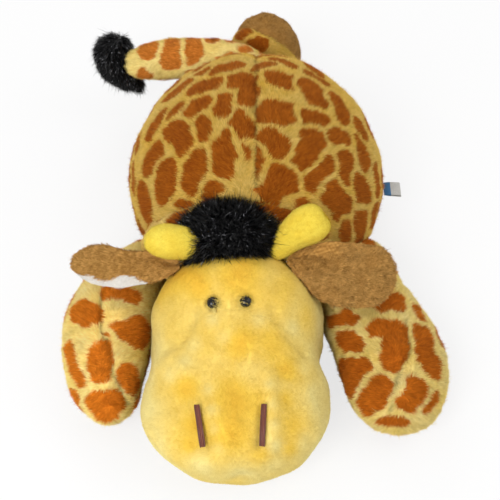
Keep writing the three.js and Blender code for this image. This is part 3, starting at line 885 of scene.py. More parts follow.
class Bench:
    """A material under way: its nodes and its main shader."""

    def __init__(self, name: str, roughness: float, specular: float = 0.3) -> None:
        """Starts a material with a plain main shader."""
        self.material = bpy.data.materials.new(name)
        self.material.use_nodes = True
        self.tree = self.material.node_tree
        self.shader = next(n for n in self.tree.nodes if n.type == "BSDF_PRINCIPLED")
        self.shader.inputs["Roughness"].default_value = roughness
        self.shader.inputs["Specular IOR Level"].default_value = specular

    def node(self, kind: str, settings: dict[str, object] | None = None, output: int | str = 0,
             **values: object) -> Knot:
        """Adds any node.

        Args:
            kind: The node's type.
            settings: Its settings, set before its sockets.
            output: Which of its results is wanted.
            **values: Its inputs by name, with spaces as underscores: values or links.

        Returns:
            The wanted result.
        """
        node = self.tree.nodes.new(kind)
        for key, value in (settings or {}).items():
            setattr(node, key, value)
        for key, value in values.items():
            socket = node.inputs[key.replace("_", " ")]
            if isinstance(value, Knot):
                self.tree.links.new(value.socket, socket)
            elif isinstance(value, tuple) and len(value) == 3 and socket.type == "RGBA":
                socket.default_value = (*value, 1.0)
            else:
                socket.default_value = value
        return Knot(self.tree, node.outputs[output])

    def attribute(self, name: str) -> Knot:
        """A value that the piece carries at each point."""
        return self.node("ShaderNodeAttribute", {"attribute_name": name}, "Fac")

    def place(self) -> Knot:
        """Where a point lies on the piece."""
        return self.node("ShaderNodeTexCoord", output="Object")

    def noise(self, scale: float, detail: float = 2.0, roughness: float = 0.5) -> Knot:
        """Uneven values from 0 to 1, at a scale per metre."""
        return self.node("ShaderNodeTexNoise", output="Fac", Vector=self.place(), Scale=scale,
                         Detail=detail, Roughness=roughness)

    def mix(self, share: "Knot | float", low: "Knot | Colour", high: "Knot | Colour",
            blend: str = "MIX") -> Knot:
        """A colour between two others.

        Args:
            share: 0 for the first and 1 for the second.
            low: The first colour.
            high: The second colour.
            blend: How they are put together.

        Returns:
            The mixed colour.
        """
        node = self.tree.nodes.new("ShaderNodeMix")
        node.data_type = "RGBA"
        node.blend_type = blend
        colours = [socket for socket in node.inputs if socket.type == "RGBA"]
        for socket, value in ((node.inputs[0], share), (colours[0], low), (colours[1], high)):
            if isinstance(value, Knot):
                self.tree.links.new(value.socket, socket)
            else:
                socket.default_value = (*value, 1.0) if isinstance(value, tuple) else value
        result = next(socket for socket in node.outputs if socket.type == "RGBA")
        return Knot(self.tree, result)

    def shaded(self, colour: Knot, factor: Knot) -> Knot:
        """A colour, made darker or lighter by a factor."""
        grey = self.node("ShaderNodeCombineColor", Red=factor, Green=factor, Blue=factor)
        return self.mix(1.0, colour, grey, "MULTIPLY")

    def bump(self, height: Knot, strength: float, distance: float) -> None:
        """Gives the shader relief from a height."""
        relief = self.node("ShaderNodeBump", Height=height, Strength=strength, Distance=distance)
        self.tree.links.new(relief.socket, self.shader.inputs["Normal"])

    def nap(self) -> None:
        """Gives the shader the fine relief of cut pile."""
        self.bump(self.noise(850, 2), 0.3, 0.0006)

    def colour(self, colour: Knot) -> None:
        """Gives the shader its colour."""
        self.tree.links.new(colour.socket, self.shader.inputs["Base Color"])

    def sheen(self, weight: float, roughness: float, tint: Colour) -> None:
        """Gives the shader the pale bloom of cut fibres seen along the cloth."""
        self.shader.inputs["Sheen Weight"].default_value = weight
        self.shader.inputs["Sheen Roughness"].default_value = roughness
        self.shader.inputs["Sheen Tint"].default_value = (*tint, 1.0)


def seen_rays(tree: bpy.types.NodeTree) -> Knot:
    """Whether a ray comes from the camera, off a gloss or through a clear piece."""
    path = tree.nodes.new("ShaderNodeLightPath")
    camera, glossy, clear = (Knot(tree, path.outputs[f"Is {kind} Ray"])
                             for kind in ("Camera", "Glossy", "Transmission"))
    return camera + glossy + clear


def join_shaders(tree: bpy.types.NodeTree, sockets: Sequence[bpy.types.NodeSocket],
                 out: bpy.types.Node) -> None:
    """Mixes two shaders into a tree's output.

    Args:
        tree: The tree.
        sockets: The share of the second shader, the first shader and the second one.
        out: The tree's output.
    """
    blend = tree.nodes.new("ShaderNodeMixShader")
    for k, socket in enumerate(sockets):
        tree.links.new(socket, blend.inputs[k])
    tree.links.new(blend.outputs[0], out.inputs[0])


class Finish:
    """A finish that dresses pieces with one material."""

    slot_name = ""
    label = ""

    def build(self) -> bpy.types.Material:
        """Makes the material."""
        raise NotImplementedError

    def material(self) -> bpy.types.Material:
        """The finish's one material, made when it is first asked for."""
        name = self.label or self.slot_name
        found = bpy.data.materials.get(name)
        if found is None:
            found = self.build()
            found.name = name
        return found

    def dress(self, *pieces: bpy.types.Object) -> None:
        """Puts the finish on new pieces.

        Args:
            *pieces: The pieces to dress.
        """
        for piece in pieces:
            piece.data.materials.clear()
            piece.data.materials.append(self.material())

    def dress_node(self, node: bpy.types.Object) -> None:
        """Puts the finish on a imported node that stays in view."""
        for slot in node.material_slots:
            slot.material = self.material()


@dataclass(frozen=True)
class PrintedPlush(Finish):
    """Giraffe print on plush: rust brown patches on a straw yellow ground."""

    slot_name: str = "printed_plush"
    label: str = "printed_plush_back"
    patch_deep: Colour = linear(150, 64, 4)
    patch_light: Colour = linear(202, 116, 30)
    ground_warm: Colour = linear(242, 190, 62)
    ground_pale: Colour = linear(236, 206, 122)
    root_shade: float = 0.6

    def build(self) -> bpy.types.Material:
        """Makes the material from the print, the fibres' own tones and slow fading, with painted
        shade towards the fibres' roots and in the seam's fold.
        """
        bench = Bench("printed_plush", 0.95, 0.1)
        tone, along = bench.attribute("tone"), bench.attribute("along")
        fade = bench.noise(38, 3)
        patch = bench.mix((tone * 0.75 + fade * 0.5 - 0.1).capped(), self.patch_deep,
                          self.patch_light)
        ground = bench.mix((tone * 0.6 + fade * 1.1 - 0.4).capped(), self.ground_warm,
                           self.ground_pale)
        colour = bench.mix(bench.attribute("print"), ground, patch)
        # Painted shade: darker towards each fibre's root.
        light = (along * (1 - self.root_shade) + self.root_shade) * (tone * 0.5 + 0.75)
        # Painted shade in the seam's fold.
        light = light * (1.0 - bench.attribute("fold") * 0.6)
        bench.colour(bench.shaded(colour, light))
        bench.sheen(0.05, 0.45, linear(250, 220, 160))
        bench.nap()
        return bench.material


@dataclass(frozen=True)
class YellowPlush(Finish):
    """Short golden plush, with painted shade in its hollows and a painted sheen on its ridges,
    sides and lower parts.
    """

    slot_name: str = "yellow_plush"
    label: str = "golden_velour_plush"
    # deep is the painted shade of the hollows, pale the painted sheen of the ridges.
    deep: Colour = linear(246, 186, 40)
    full: Colour = linear(248, 210, 84)
    pale: Colour = linear(250, 232, 152)
    root_shade: float = 0.9

    def build(self) -> bpy.types.Material:
        """Makes the material from the painted light of the head and the fibres' own tones."""
        bench = Bench("yellow_plush", 0.95, 0.1)
        tone, along = bench.attribute("tone"), bench.attribute("along")
        # The head's painted light, with some noise and the fibres' own tones.
        lift = bench.attribute("lift") + bench.noise(45, 3) * 0.2 + tone * 0.16 - 0.18
        low = bench.mix((lift * 2).capped(), self.deep, self.full)
        colour = bench.mix((lift * 2 - 1).capped(), low, self.pale)
        # Painted shade: darker towards each fibre's root.
        light = (along * (1 - self.root_shade) + self.root_shade) * (tone * 0.2 + 0.88)
        bench.colour(bench.shaded(colour, light))
        bench.sheen(0.04, 0.4, linear(250, 240, 190))
        bench.nap()
        return bench.material


@dataclass(frozen=True)
class PlainPile(Finish):
    """Plain dyed pile or fleece, with painted shade towards the fibres' roots."""

    slot_name: str = "tan_plush"
    label: str = "tan_fleece"
    deep: Colour = linear(160, 108, 42)
    light: Colour = linear(214, 164, 92)
    root_shade: float = 0.6
    roughness: float = 0.95
    specular: float = 0.1
    bloom: float = 0.1
    bloom_tint: Colour = linear(240, 215, 165)
    scale: float = 45.0
    glint: float = 1.0
    contrast: float = 0.4

    def build(self) -> bpy.types.Material:
        """Makes the material from the fibres' own tones and slow fading, with painted shade towards
        the roots and, where asked, painted glints.
        """
        bench = Bench("plain_pile", self.roughness, self.specular)
        tone, along = bench.attribute("tone"), bench.attribute("along")
        fade = bench.noise(self.scale, 3)
        colour = bench.mix((tone * 0.7 + fade * 0.8 - 0.25).capped(), self.deep, self.light)
        tuft = tone * self.contrast + (1 - self.contrast / 2)
        # Painted shade: darker towards each fibre's root.
        light = (along * (1 - self.root_shade) + self.root_shade) * tuft
        colour = bench.shaded(colour, light)
        # Painted glints: a short near-white stretch on a few fibres.
        if self.glint < 1:
            middle = along - 0.62
            short = (1.0 - middle * middle * 60.0).capped()
            bright = ((tone - self.glint) * 30.0).capped() * short
            colour = bench.mix(bright, colour, linear(225, 225, 232))
        bench.colour(colour)
        bench.sheen(self.bloom, 0.45, self.bloom_tint)
        bench.nap()
        return bench.material


@dataclass(frozen=True)
class Woven(Finish):
    """A woven or knitted cloth with fine threads."""

    slot_name: str = "cotton_tape"
    label: str = "banded_tape"
    thread: Colour = linear(214, 212, 206)
    shadow: Colour = linear(160, 158, 152)
    band: Colour = linear(84, 132, 170)
    band_shadow: Colour = linear(50, 92, 134)
    band_end: float = 0.0
    pitch: float = 0.55
    roughness: float = 0.8

    def build(self) -> bpy.types.Material:
        """Makes the material from two crossing sets of threads, with painted shade between them,
        blue as far as the band's end.
        """
        bench = Bench("woven", self.roughness, 0.2)
        place = bench.place()
        axes = bench.tree.nodes.new("ShaderNodeSeparateXYZ")
        bench.tree.links.new(place.socket, axes.inputs[0])
        pitch = self.pitch * MM
        x, y = (Knot(bench.tree, axes.outputs[k]) * (2 * math.pi / pitch) for k in (0, 1))
        weave = x.math("SINE", 0.0) * y.math("SINE", 0.0) * 0.5 + 0.5
        # Painted shade in the weave's dips between threads, mixed with uneven noise.
        worn = (weave * 0.7 + bench.noise(300, 2) * 0.3).capped()
        pale = bench.mix(worn, self.shadow, self.thread)
        blue = bench.mix(worn, self.band_shadow, self.band)
        past = ((Knot(bench.tree, axes.outputs[0]) - self.band_end * MM) * 3000.0).capped()
        bench.colour(bench.mix(past, blue, pale))
        bench.bump(weave, 0.5, 0.0002)
        return bench.material


@dataclass(frozen=True)
class SatinThread(Finish):
    """Glossy embroidery thread, laid side by side."""

    slot_name: str = "brown_thread"
    label: str = "satin_brown_thread"
    bright: Colour = linear(136, 72, 48)
    dark: Colour = linear(72, 30, 20)

    def build(self) -> bpy.types.Material:
        """Makes the material with a twist along each thread: a tone of its own for each thread, and
        painted shade where the grain's relief dips.
        """
        bench = Bench("satin_thread", 0.42, 0.5)
        tone = bench.attribute("tone")
        grain = bench.noise(1800, 2)
        # A tone of its own for each thread, with painted shade where the grain that bumps it dips.
        share = (tone * 0.5 + grain * 0.6 - 0.05).capped()
        bench.colour(bench.mix(share, self.dark, self.bright))
        bench.bump(grain, 0.4, 0.0001)
        bench.sheen(0.05, 0.3, linear(220, 180, 170))
        return bench.material


@dataclass(frozen=True)
class Moulded(Finish):
    """Moulded plastic with faint flow marks and handling wear."""

    slot_name: str = "black_plastic"
    label: str = "black_gloss"
    body: Colour = linear(6, 6, 7)
    worn: Colour = linear(16, 16, 18)
    roughness: float = 0.08
    coat: float = 0.1

    def build(self) -> bpy.types.Material:
        """Makes the material with fine scuffs in its gloss."""
        bench = Bench("moulded", self.roughness, 0.3)
        scuff = bench.noise(900, 4)
        bench.colour(bench.mix(scuff, self.body, self.worn))
        rough = scuff * 0.1 + self.roughness * 0.7
        bench.tree.links.new(rough.socket, bench.shader.inputs["Roughness"])
        bench.shader.inputs["Coat Weight"].default_value = self.coat
        bench.bump(bench.noise(500, 2), 0.05, 0.0002)
        return bench.material


@dataclass(frozen=True)
class Fibrefill(Finish):
    """Loose white stuffing, seen only where a seam opens."""

    slot_name: str = "fibrefill"
    label: str = "loose_fibrefill"
    light: Colour = linear(244, 243, 238)
    shade: Colour = linear(206, 204, 198)

    def build(self) -> bpy.types.Material:
        """Makes the material with tangled fibre, and painted shade in the tangle's dips."""
        bench = Bench("fibrefill", 1.0, 0.1)
        tangle = bench.noise(260, 6, 0.7)
        # Painted shade: the tangle that gives the bump darkens its dips.
        bench.colour(bench.mix(tangle, self.shade, self.light))
        bench.bump(tangle, 0.8, 0.002)
        return bench.material


@dataclass
class Skins:
    """Makes padded skins: a form, softly inflated between its seams."""

    neighbours: Neighbours
    frames: int = 14

    def cut(self, name: str, form: Form, around: int, along: int, inset: float,
            trim: str = "", slack: float = 1.6) -> bpy.types.Object:
        """Cuts one skin to its form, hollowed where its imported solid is.

        Args:
            name: The piece's name.
            form: Its stuffed form.
            around: Faces round it.
            along: Faces along it.
            inset: How far it lies inside the form, so that its pile ends on the form.
            trim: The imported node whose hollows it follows, or none.
            slack: How far outside that node it may stay.

        Returns:
            The skin.
        """
        points, faces = form.grid(around, along, inset)
        if trim:
            points = drawn_in(points, self.neighbours.tree(trim), slack, TRIM_INSET)
        off_floor(points)
        return mesh_object(name, points, faces)

    def pad(self, skin: bpy.types.Object, seams: Array, pressure: float, cap: float) -> None:
        """Args:
            skin: The skin, which keeps its points' order.
            seams: How firmly each point is held, from 0 to 1.
            pressure: How hard the stuffing presses.
            cap: How far a point may move, in millimetres.
        """
        start = points_of(skin)
        group = skin.vertex_groups.new(name="seams")
        for k in np.nonzero(seams > 0.02)[0]:
            group.add([int(k)], float(seams[k]), "REPLACE")
        modifier = skin.modifiers.new("Cloth", "CLOTH")
        settings = modifier.settings
        settings.quality = 4
        settings.mass = 0.2
        settings.use_pressure = True
        settings.uniform_pressure_force = pressure
        settings.tension_stiffness = 12
        settings.compression_stiffness = 6
        settings.bending_stiffness = 0.4
        settings.vertex_group_mass = "seams"
        settings.effector_weights.gravity = 0.0
        modifier.collision_settings.use_collision = False
        modifier.point_cache.frame_start = 1
        modifier.point_cache.frame_end = self.frames
        scene = bpy.context.scene
        for frame in range(1, self.frames + 1):
            scene.frame_set(frame)
        graph = bpy.context.evaluated_depsgraph_get()
        flat = np.empty(len(start) * 3)
        skin.evaluated_get(graph).data.vertices.foreach_get("co", flat)
        step = flat.reshape(-1, 3) / MM - start
        far = np.linalg.norm(step, axis=1, keepdims=True)
        step *= np.minimum(1, cap / np.maximum(far, 1e-6))
        skin.modifiers.remove(modifier)
        skin.vertex_groups.clear()
        scene.frame_set(1)
        ended = start + step
        off_floor(ended)
        move_points(skin, ended)
        log.info("%s swelled by %.1f mm at most", skin.name, float(far.max()))

    def wall(self, skin: bpy.types.Object, thickness: float = 1.2) -> None:
        """Gives an open panel of cloth its thickness."""
        finish_with(skin, "SOLIDIFY", thickness=thickness * MM, offset=-1.0)

    def filling(self, node: str, form: Form, inset: float) -> bpy.types.Object:
        """Makes the loose stuffing inside a skin.

        Args:
            node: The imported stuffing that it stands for.
            form: The skin's form.
            inset: How far inside the form it ends.

        Returns:
            The stuffing.
        """
        points, faces = form.grid(40, 28, inset)
        points += ripple(points, 22, 77)[:, None] * unit(points - points.mean(axis=0)) * 0.8
        off_floor(points, FILLING_FLOOR)
        filling = mesh_object(node.replace("stuffing", "filling"), points, faces)
        Fibrefill().dress(filling)
        return filling


def panel_of(whole: bpy.types.Object, name: str, keep: Array) -> bpy.types.Object:
    """Cuts one panel out of a whole skin.

    Args:
        whole: The skin.
        name: The panel's name.
        keep: Which faces belong to it.

    Returns:
        The panel, as a new piece.
    """
    faces = [tuple(p.vertices) for p, kept in zip(whole.data.polygons, keep) if kept]
    used = sorted({k for face in faces for k in face})
    number = {old: new for new, old in enumerate(used)}
    points = points_of(whole)[used]
    return mesh_object(name, points, [tuple(number[k] for k in face) for face in faces])


def middles_of(piece: bpy.types.Object) -> Array:
    """The middles of a piece's faces, in millimetres."""
    flat = np.empty(len(piece.data.polygons) * 3)
    piece.data.polygons.foreach_get("center", flat)
    return flat.reshape(-1, 3) / MM


def distance_to(points: Array, line: Array) -> Array:
    """How far points lie from a line of joined stretches."""
    away = np.full(len(points), 1e9)
    for a, b in zip(line, line[1:]):
        span = b - a
        share = np.clip(((points - a) @ span) / max(span @ span, 1e-9), 0, 1)
        away = np.minimum(away, np.linalg.norm(points - a - share[:, None] * span, axis=1))
    return away


@dataclass(frozen=True)
class Crease:
    """A fold or ridge drawn in the frame; a negative depth lifts."""

    line: tuple[tuple[float, float], ...]
    depth: float
    width: float

    def laid(self, tree: BVHTree) -> Array:
        """Its line on a skin, as rows of points, or none where the line misses the skin."""
        hits = [hit for hit in (VIEW.hit(tree, spot) for spot in self.line) if hit is not None]
        line = np.array([hit[0] for hit in hits]).reshape(-1, 3)
        return np.vstack([line, line + 0.01]) if len(line) == 1 else line

    def pressed(self, skin: bpy.types.Object, tree: BVHTree) -> Array:
        """How far it moves each point of a skin inwards.

        Args:
            skin: The skin.
            tree: The skin's faces.

        Returns:
            Millimetres for each point.
        """
        line = self.laid(tree)
        if not len(line):
            return np.zeros(len(skin.data.vertices))
        away = distance_to(points_of(skin), line)
        return self.depth * np.exp(-((away / self.width) ** 2))


def creased(skin: bpy.types.Object, creases: Sequence[Crease]) -> None:
    """Presses creases into a skin along its normals."""
    tree = tree_of(skin)
    total = sum(crease.pressed(skin, tree) for crease in creases)
    move_points(skin, points_of(skin) - normals_of(skin) * np.asarray(total)[:, None])


@dataclass
class Workshop:
    """What every part of the toy is made with."""

    neighbours: Neighbours
    skins: Skins
    nodes: dict[str, bpy.types.Object]

    def mount(self, piece: bpy.types.Object, body: str, *nodes: str) -> None:
        """Lets a piece ride on a body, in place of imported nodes.

        Args:
            piece: The piece.
            body: The body that carries it.
            *nodes: The nodes that it stands for.
        """
        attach(piece, body)
        if nodes:
            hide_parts(*nodes)
        log.info("%s: %d faces on %s", piece.name, len(piece.data.polygons), body)

    def close(self, panel: bpy.types.Object, grown: bpy.types.Object, finish: Finish, body: str,
              *nodes: str) -> None:
        """Gives a panel its thickness and its finish, and mounts it with its pile.

        Args:
            panel: The panel.
            grown: Its pile.
            finish: The finish of both.
            body: The body that carries them.
            *nodes: The nodes that the panel stands for.
        """
        self.skins.wall(panel)
        finish.dress(panel)
        self.mount(panel, body, *nodes)
        self.mount(grown, body)


@dataclass
class Torso:
    """The round back and the belly, in three printed panels."""

    shop: Workshop
    half_width: float = 106
    half_length: float = 112
    rise: float = 98
    drop: float = 75
    seam_height: float = 45
    side_shares: tuple[float, ...] = (1, 1, 0.995, 0.96, 0.94)
    pile: PileCut = PileCut(density=4.6, length=4.0, width=0.36, lean=34, scatter=0.3,
                            clump=1.6, pull=0.4, spread=0.13, stray=0.06)
    patches: tuple[Patch, ...] = (
        Patch(((217, 72), (238, 68)), 4.5),
        Patch(((198, 77), (208, 72)), 3),
        Patch(((172, 97), (187, 86)), 5),
        Patch(((197, 91), (215, 86)), 6.5),
        Patch(((236, 84), (255, 84), (248, 101)), 7),
        Patch(((254, 71), (268, 66)), 3.5),
        Patch(((270, 80), (286, 84)), 8),
        Patch(((224, 101), (225, 114)), 6.5),
        Patch(((190, 115), (206, 105)), 6.5),
        Patch(((172, 117), (180, 109)), 4.5),
        Patch(((152, 136), (164, 117)), 4.5),
        Patch(((174, 132), (182, 130), (188, 145)), 9),
        Patch(((203, 128), (206, 140)), 7),
        Patch(((239, 121), (247, 133)), 9),
        Patch(((266, 114), (283, 116)), 12),
        Patch(((306, 88), (314, 100)), 9),
        Patch(((303, 119), (320, 122)), 7),
        Patch(((332, 99), (343, 120)), 5),
        Patch(((307, 75), (322, 84)), 3.5),
        Patch(((274, 61), (293, 69)), 3),
        Patch(((160, 151), (150, 167)), 6.5),
        Patch(((139, 150), (142, 137)), 2.5),
        Patch(((199, 161), (193, 184)), 10.5),
        Patch(((170, 172), (167, 190)), 11),
        Patch(((224, 144), (226, 170)), 9.5),
        Patch(((247, 153), (251, 183)), 4),
        Patch(((257, 150), (253, 178)), 6),
        Patch(((267, 140), (279, 150)), 9.5),
        Patch(((312, 140), (301, 161)), 11),
        Patch(((332, 137), (343, 141)), 7),
        Patch(((354, 123), (361, 134)), 4.5),
        Patch(((356, 145), (362, 163)), 5.5),
        Patch(((344, 157), (342, 177)), 7),
        Patch(((326, 165), (305, 188)), 8.5),
        Patch(((280, 177), (273, 193), (290, 188)), 11.5),
        Patch(((356, 183), (362, 199)), 7.5),
        Patch(((373, 170), (376, 191)), 3.5),
        Patch(((331, 192), (339, 207)), 11.5),
        Patch(((358, 214), (359, 233)), 7.5),
        Patch(((373, 209), (371, 220)), 4.5),
        Patch(((290, 198), (301, 200)), 6.5),
        Patch(((136, 168), (136, 188)), 3.5),
        Patch(((145, 194), (149, 211)), 7),
        Patch(((179, 199), (190, 205)), 5),
        Patch(((210, 193), (219, 187)), 7.5),
        Patch(((131, 195), (133, 212)), 2.5),
        Patch(((145, 232), (148, 238)), 6),
        Patch(((342, 228), (344, 236)), 6),
        Patch(((370, 236),), 4),
        Patch(((382, 226),), 3),
    )

    def form(self) -> Form:
        """The torso's stuffed form."""
        spine = ((0, -self.half_length, self.seam_height), (0, self.half_length, self.seam_height))
        return Form(spine, self.half_width, self.rise, self.drop, self.side_shares, (1, 1), (1, 1))

    def comb(self, roots: Array, normals: Array) -> Array:
        """The pile runs back and down from the nape, and in towards the back's seam."""
        away = roots - np.array((0, -95, 110))
        flow = unit(away * (1, 1, 0.3)) + np.array((0, 0, -0.35))
        flow += ripple(roots, 30, 4)[:, None] * np.array((0.2, -0.1, 0))
        near = np.exp(-((roots[:, 0] / 6) ** 2)) * (roots[:, 2] > self.seam_height)
        flow[:, 0] -= near * np.sign(roots[:, 0]) * 0.8
        return flow

    def seam_dip(self, points: Array) -> Array:
        """How deep the back seam and the side seams pull the cloth in."""
        back = np.exp(-np.abs(points[:, 0]) / 4.0) * (points[:, 2] > self.seam_height)
        back = back * smooth(-92, -66, points[:, 1])
        puckers = 1 + 0.35 * np.sin(points[:, 1] / 3.1 + ripple(points, 20, 8) * 2)
        side = np.exp(-np.abs(points[:, 2] - self.seam_height) / 4.0)
        return 4.4 * back * puckers + 1.4 * side

    def build(self) -> None:
        """Makes the panels and their pile."""
        skin = self.shop.skins.cut("torso_skin", self.form(), 100, 70, 3.6)
        points = points_of(skin)
        back = np.exp(-((points[:, 0] / 4) ** 2)) * (points[:, 2] > self.seam_height)
        side = np.exp(-(((points[:, 2] - self.seam_height) / 4) ** 2))
        floor = points[:, 2] < 1
        self.shop.skins.pad(skin, np.clip(np.maximum(np.maximum(back, side), floor), 0, 1), 5, 2.5)
        refine(skin)
        points, normals = points_of(skin), normals_of(skin)
        points -= normals * self.seam_dip(points)[:, None]
        points += normals * (ripple(points, 42, 11) * 0.8 + ripple(points, 5, 12) * 0.12)[:, None]
        off_floor(points)
        move_points(skin, points)
        self.cover(skin)

    def fold(self, points: Array) -> Array:
        """How deep in the back seam's fold points lie, where the pile gets painted shade."""
        over = smooth(60, 95, points[:, 2])
        wander = ripple(points, 26, 51) * 0.5
        return np.exp(-(((points[:, 0] - wander) / 1.9) ** 2)) * over

    def cover(self, skin: bpy.types.Object) -> None:
        """Parts the skin into its panels, and grows the print's pile on each.

        Args:
            skin: The whole skin.
        """
        artwork = Print(self.patches, seed=21)
        artwork.lay_out(skin)
        middles = middles_of(skin)
        upper = middles[:, 2] > self.seam_height
        halves = {
            "back_panel_left": upper & (middles[:, 0] > 0),
            "back_panel_right": upper & (middles[:, 0] <= 0),
            "belly_panel": ~upper,
        }
        limbs = ("head_stuffing", "neck", "foreleg_left", "foreleg_right", "hindleg_left",
                 "hindleg_right", "tail")

        def share(roots: Array, normals: Array) -> Array:
            """Grows no pile under a neighbour or on the floor, and less on the belly."""
            covered = self.shop.neighbours.inside(roots, (*limbs, "forelock"), 1.5)
            belly = roots[:, 2] < self.seam_height
            return np.where(covered | underneath(roots, normals, 0.75), 0.0,
                            np.where(belly, 0.7, 1.0))

        def clear(tips: Array) -> Array:
            """Keeps tips out of the limbs that lie against the torso."""
            return self.shop.neighbours.press(tips, limbs)

        for number, (node, keep) in enumerate(halves.items()):
            panel = panel_of(skin, node.replace("panel", "skin"), keep)
            values_on(panel, "print", artwork.on(points_of(panel), 0.0))
            shade_cloth(panel)
            # The fold value carries painted shade in the back seam's fold.
            values_on(panel, "fold", self.fold(points_of(panel)))
            finish = PrintedPlush()
            grown = Pile(self.pile, finish, 30 + number).grow(
                node.replace("panel", "pile"), panel, self.comb,
                {"print": lambda roots: artwork.on(roots, 0.35), "fold": self.fold}, share,
                clear)
            self.shop.close(panel, grown, finish, "torso", node)
        filling = self.shop.skins.filling("torso_stuffing", self.form(), 12)
        self.shop.mount(filling, "torso", "torso_stuffing")
        bpy.data.objects.remove(skin)


@dataclass
class Head:
    """The long head: muzzle, forehead and chin in golden plush."""

    shop: Workshop
    offset: float = 14
    form_sizes: tuple[float, float, float] = (70, 75, 52)
    spine_height: float = 36
    back_y: float = -90
    nose_y: float = -258
    side_shares: tuple[float, ...] = (0.97, 0.98, 0.975, 0.93, 0.875, 0.965, 1, 1, 0.93)
    rise_shares: tuple[float, ...] = (1, 1, 0.97, 0.83, 0.69, 0.56, 0.5, 0.5, 0.5)
    chin_height: float = 16
    pile: PileCut = PileCut(density=4.8, length=2.2, width=0.34, lean=22, clump=0, scatter=0.4,
                            spread=0.06, stray=0.01, mottle=0.06, twist=0.06)
    lashes: PileCut = PileCut(density=2.2, length=6.2, width=0.42, lean=50, clump=1.6, pull=0.6,
                              scatter=0.5, segments=3, bend=2.0, curl=1.0, twist=0.1)
    creases: tuple[Crease, ...] = (
        Crease(((195, 309), (192, 322), (186, 336), (177, 345), (165, 352)), 2.4, 3.6),
        Crease(((273, 311), (280, 325), (289, 338), (304, 352), (322, 345)), 1.8, 4.6),
        Crease(((195, 309), (232, 316), (273, 311)), 0.4, 5.0),
        Crease(((194, 398), (206, 446)), 1.8, 3.5),
        Crease(((262, 396), (260, 446)), 1.8, 3.5),
        Crease(((214, 385), (217, 420), (222, 452)), -1.6, 6.0),
        Crease(((269, 375), (272, 410), (274, 446)), -1.6, 5.0),
        Crease(((171, 282), (166, 300)), 1.6, 12.0),
        Crease(((213, 301), (216, 303)), 1.2, 6.0),
        Crease(((245, 300), (248, 301)), 1.2, 6.0),
        Crease(((277, 282), (276, 305)), 1.2, 7.0),
        Crease(((242, 478), (243, 484)), 2.0, 6.0),
    )
    eye_middles: tuple[Point, ...] = ((-7, -157.8, 92), (-29, -157.8, 90.5))
    # Spots in the frame with their reach: painted shade at the hollows, a painted sheen at the
    # ridges.
    hollows: tuple[tuple[float, float, float], ...] = (
        (168, 286, 20), (190, 275, 13), (160, 296, 18), (180, 272, 15), (202, 288, 12),
        (238, 280, 16), (284, 372, 10), (284, 398, 9),
        (234, 405, 17), (233, 430, 16), (188, 388, 11), (192, 446, 9), (262, 455, 10),
        (290, 450, 10), (247, 262, 14), (196, 425, 9), (240, 345, 14),
    )
    ridges: tuple[tuple[float, float, float], ...] = (
        (210, 390, 6), (213, 410, 6), (216, 430, 6), (220, 448, 7), (268, 385, 6), (271, 405, 6),
        (273, 425, 6), (274, 445, 7), (150, 385, 9), (147, 412, 9), (156, 440, 11), (314, 392, 11),
        (318, 416, 10), (304, 440, 11), (195, 345, 8), (186, 362, 9), (226, 338, 9),
        (292, 328, 9), (214, 320, 7), (258, 320, 8), (240, 472, 12), (205, 466, 12),
        (275, 466, 12), (302, 368, 9), (170, 376, 8),
    )

    def form(self) -> Form:
        """The head's stuffed form."""
        spine = ((-self.offset, self.back_y, self.spine_height),
                 (-self.offset, self.nose_y, self.spine_height))
        side, rise, drop = self.form_sizes
        return Form(spine, side, rise, drop, self.side_shares, self.rise_shares, (1, 1), 2.7)

    def comb(self, roots: Array, normals: Array) -> Array:
        """The pile runs back from the muzzle, and down over the cheeks."""
        flow = np.zeros_like(roots) + np.array((0, 0.35, -0.6))
        flow[:, 0] += (roots[:, 0] + self.offset) / 70
        return flow + ripple(roots, 24, 5)[:, None] * np.array((0.3, 0, 0))

    def fringe(self, skin: bpy.types.Object, lift: PointRule) -> None:
        """Grows the longer pile round the eyes, which hangs over the buttons.

        Args:
            skin: The forehead's skin.
            lift: The painted light at each point: painted shade in hollows, painted sheen on
                ridges.
        """

        def to_eye(roots: Array) -> tuple[Array, Array]:
            """The way from the nearer eye's middle to each root, and how far that is."""
            away = np.stack([roots - middle for middle in self.eye_middles])
            far = np.linalg.norm(away, axis=2)
            nearest = far.argmin(axis=0)
            pick = np.arange(len(roots))
            return away[nearest, pick], far[nearest, pick]

        def share(roots: Array, normals: Array) -> Array:
            """Grows the fringe in a ring round each eye."""
            far = to_eye(roots)[1]
            return np.where((far > 3.6) & (far < 7.2), 1.0, 0.0)

        lashes = Pile(self.lashes, YellowPlush(), 77).grow(
            "eye_fringe_pile", skin, lambda roots, normals: -to_eye(roots)[0], {"lift": lift},
            share)
        self.shop.mount(lashes, "head")

    def lift(self, tree: BVHTree) -> PointRule:
        """The painted light of the head, worked out from the hollows and ridges: painted shade in
        the hollows, a painted sheen on the ridges, at the sides and low down.
        """
        spots = [(VIEW.hit(tree, (x, y)), reach, -0.26) for x, y, reach in self.hollows]
        spots += [(VIEW.hit(tree, (x, y)), reach, 0.22) for x, y, reach in self.ridges]
        found = [(hit[0], reach * hit[1], by) for hit, reach, by in spots if hit is not None]

        def worth(points: Array) -> Array:
            """The painted light at points, near 0 for the deepest painted shade in a hollow and
            near 1 for a painted sheen on a ridge.
            """
            value = np.full(len(points), 0.62)
            for middle, reach, by in found:
                away = np.linalg.norm(points - middle, axis=1)
                value += by * np.exp(-((away / reach) ** 2))
            edge = np.abs(points[:, 0] + self.offset) / 70
            low = smooth(62, 28, points[:, 2])
            # Painted sheen: paler towards the sides and low down.
            value += 0.3 * smooth(0.5, 0.95, edge) + 0.22 * low
            return np.clip(value, 0.02, 0.95) + ripple(points, 30, 6) * 0.06

        return worth

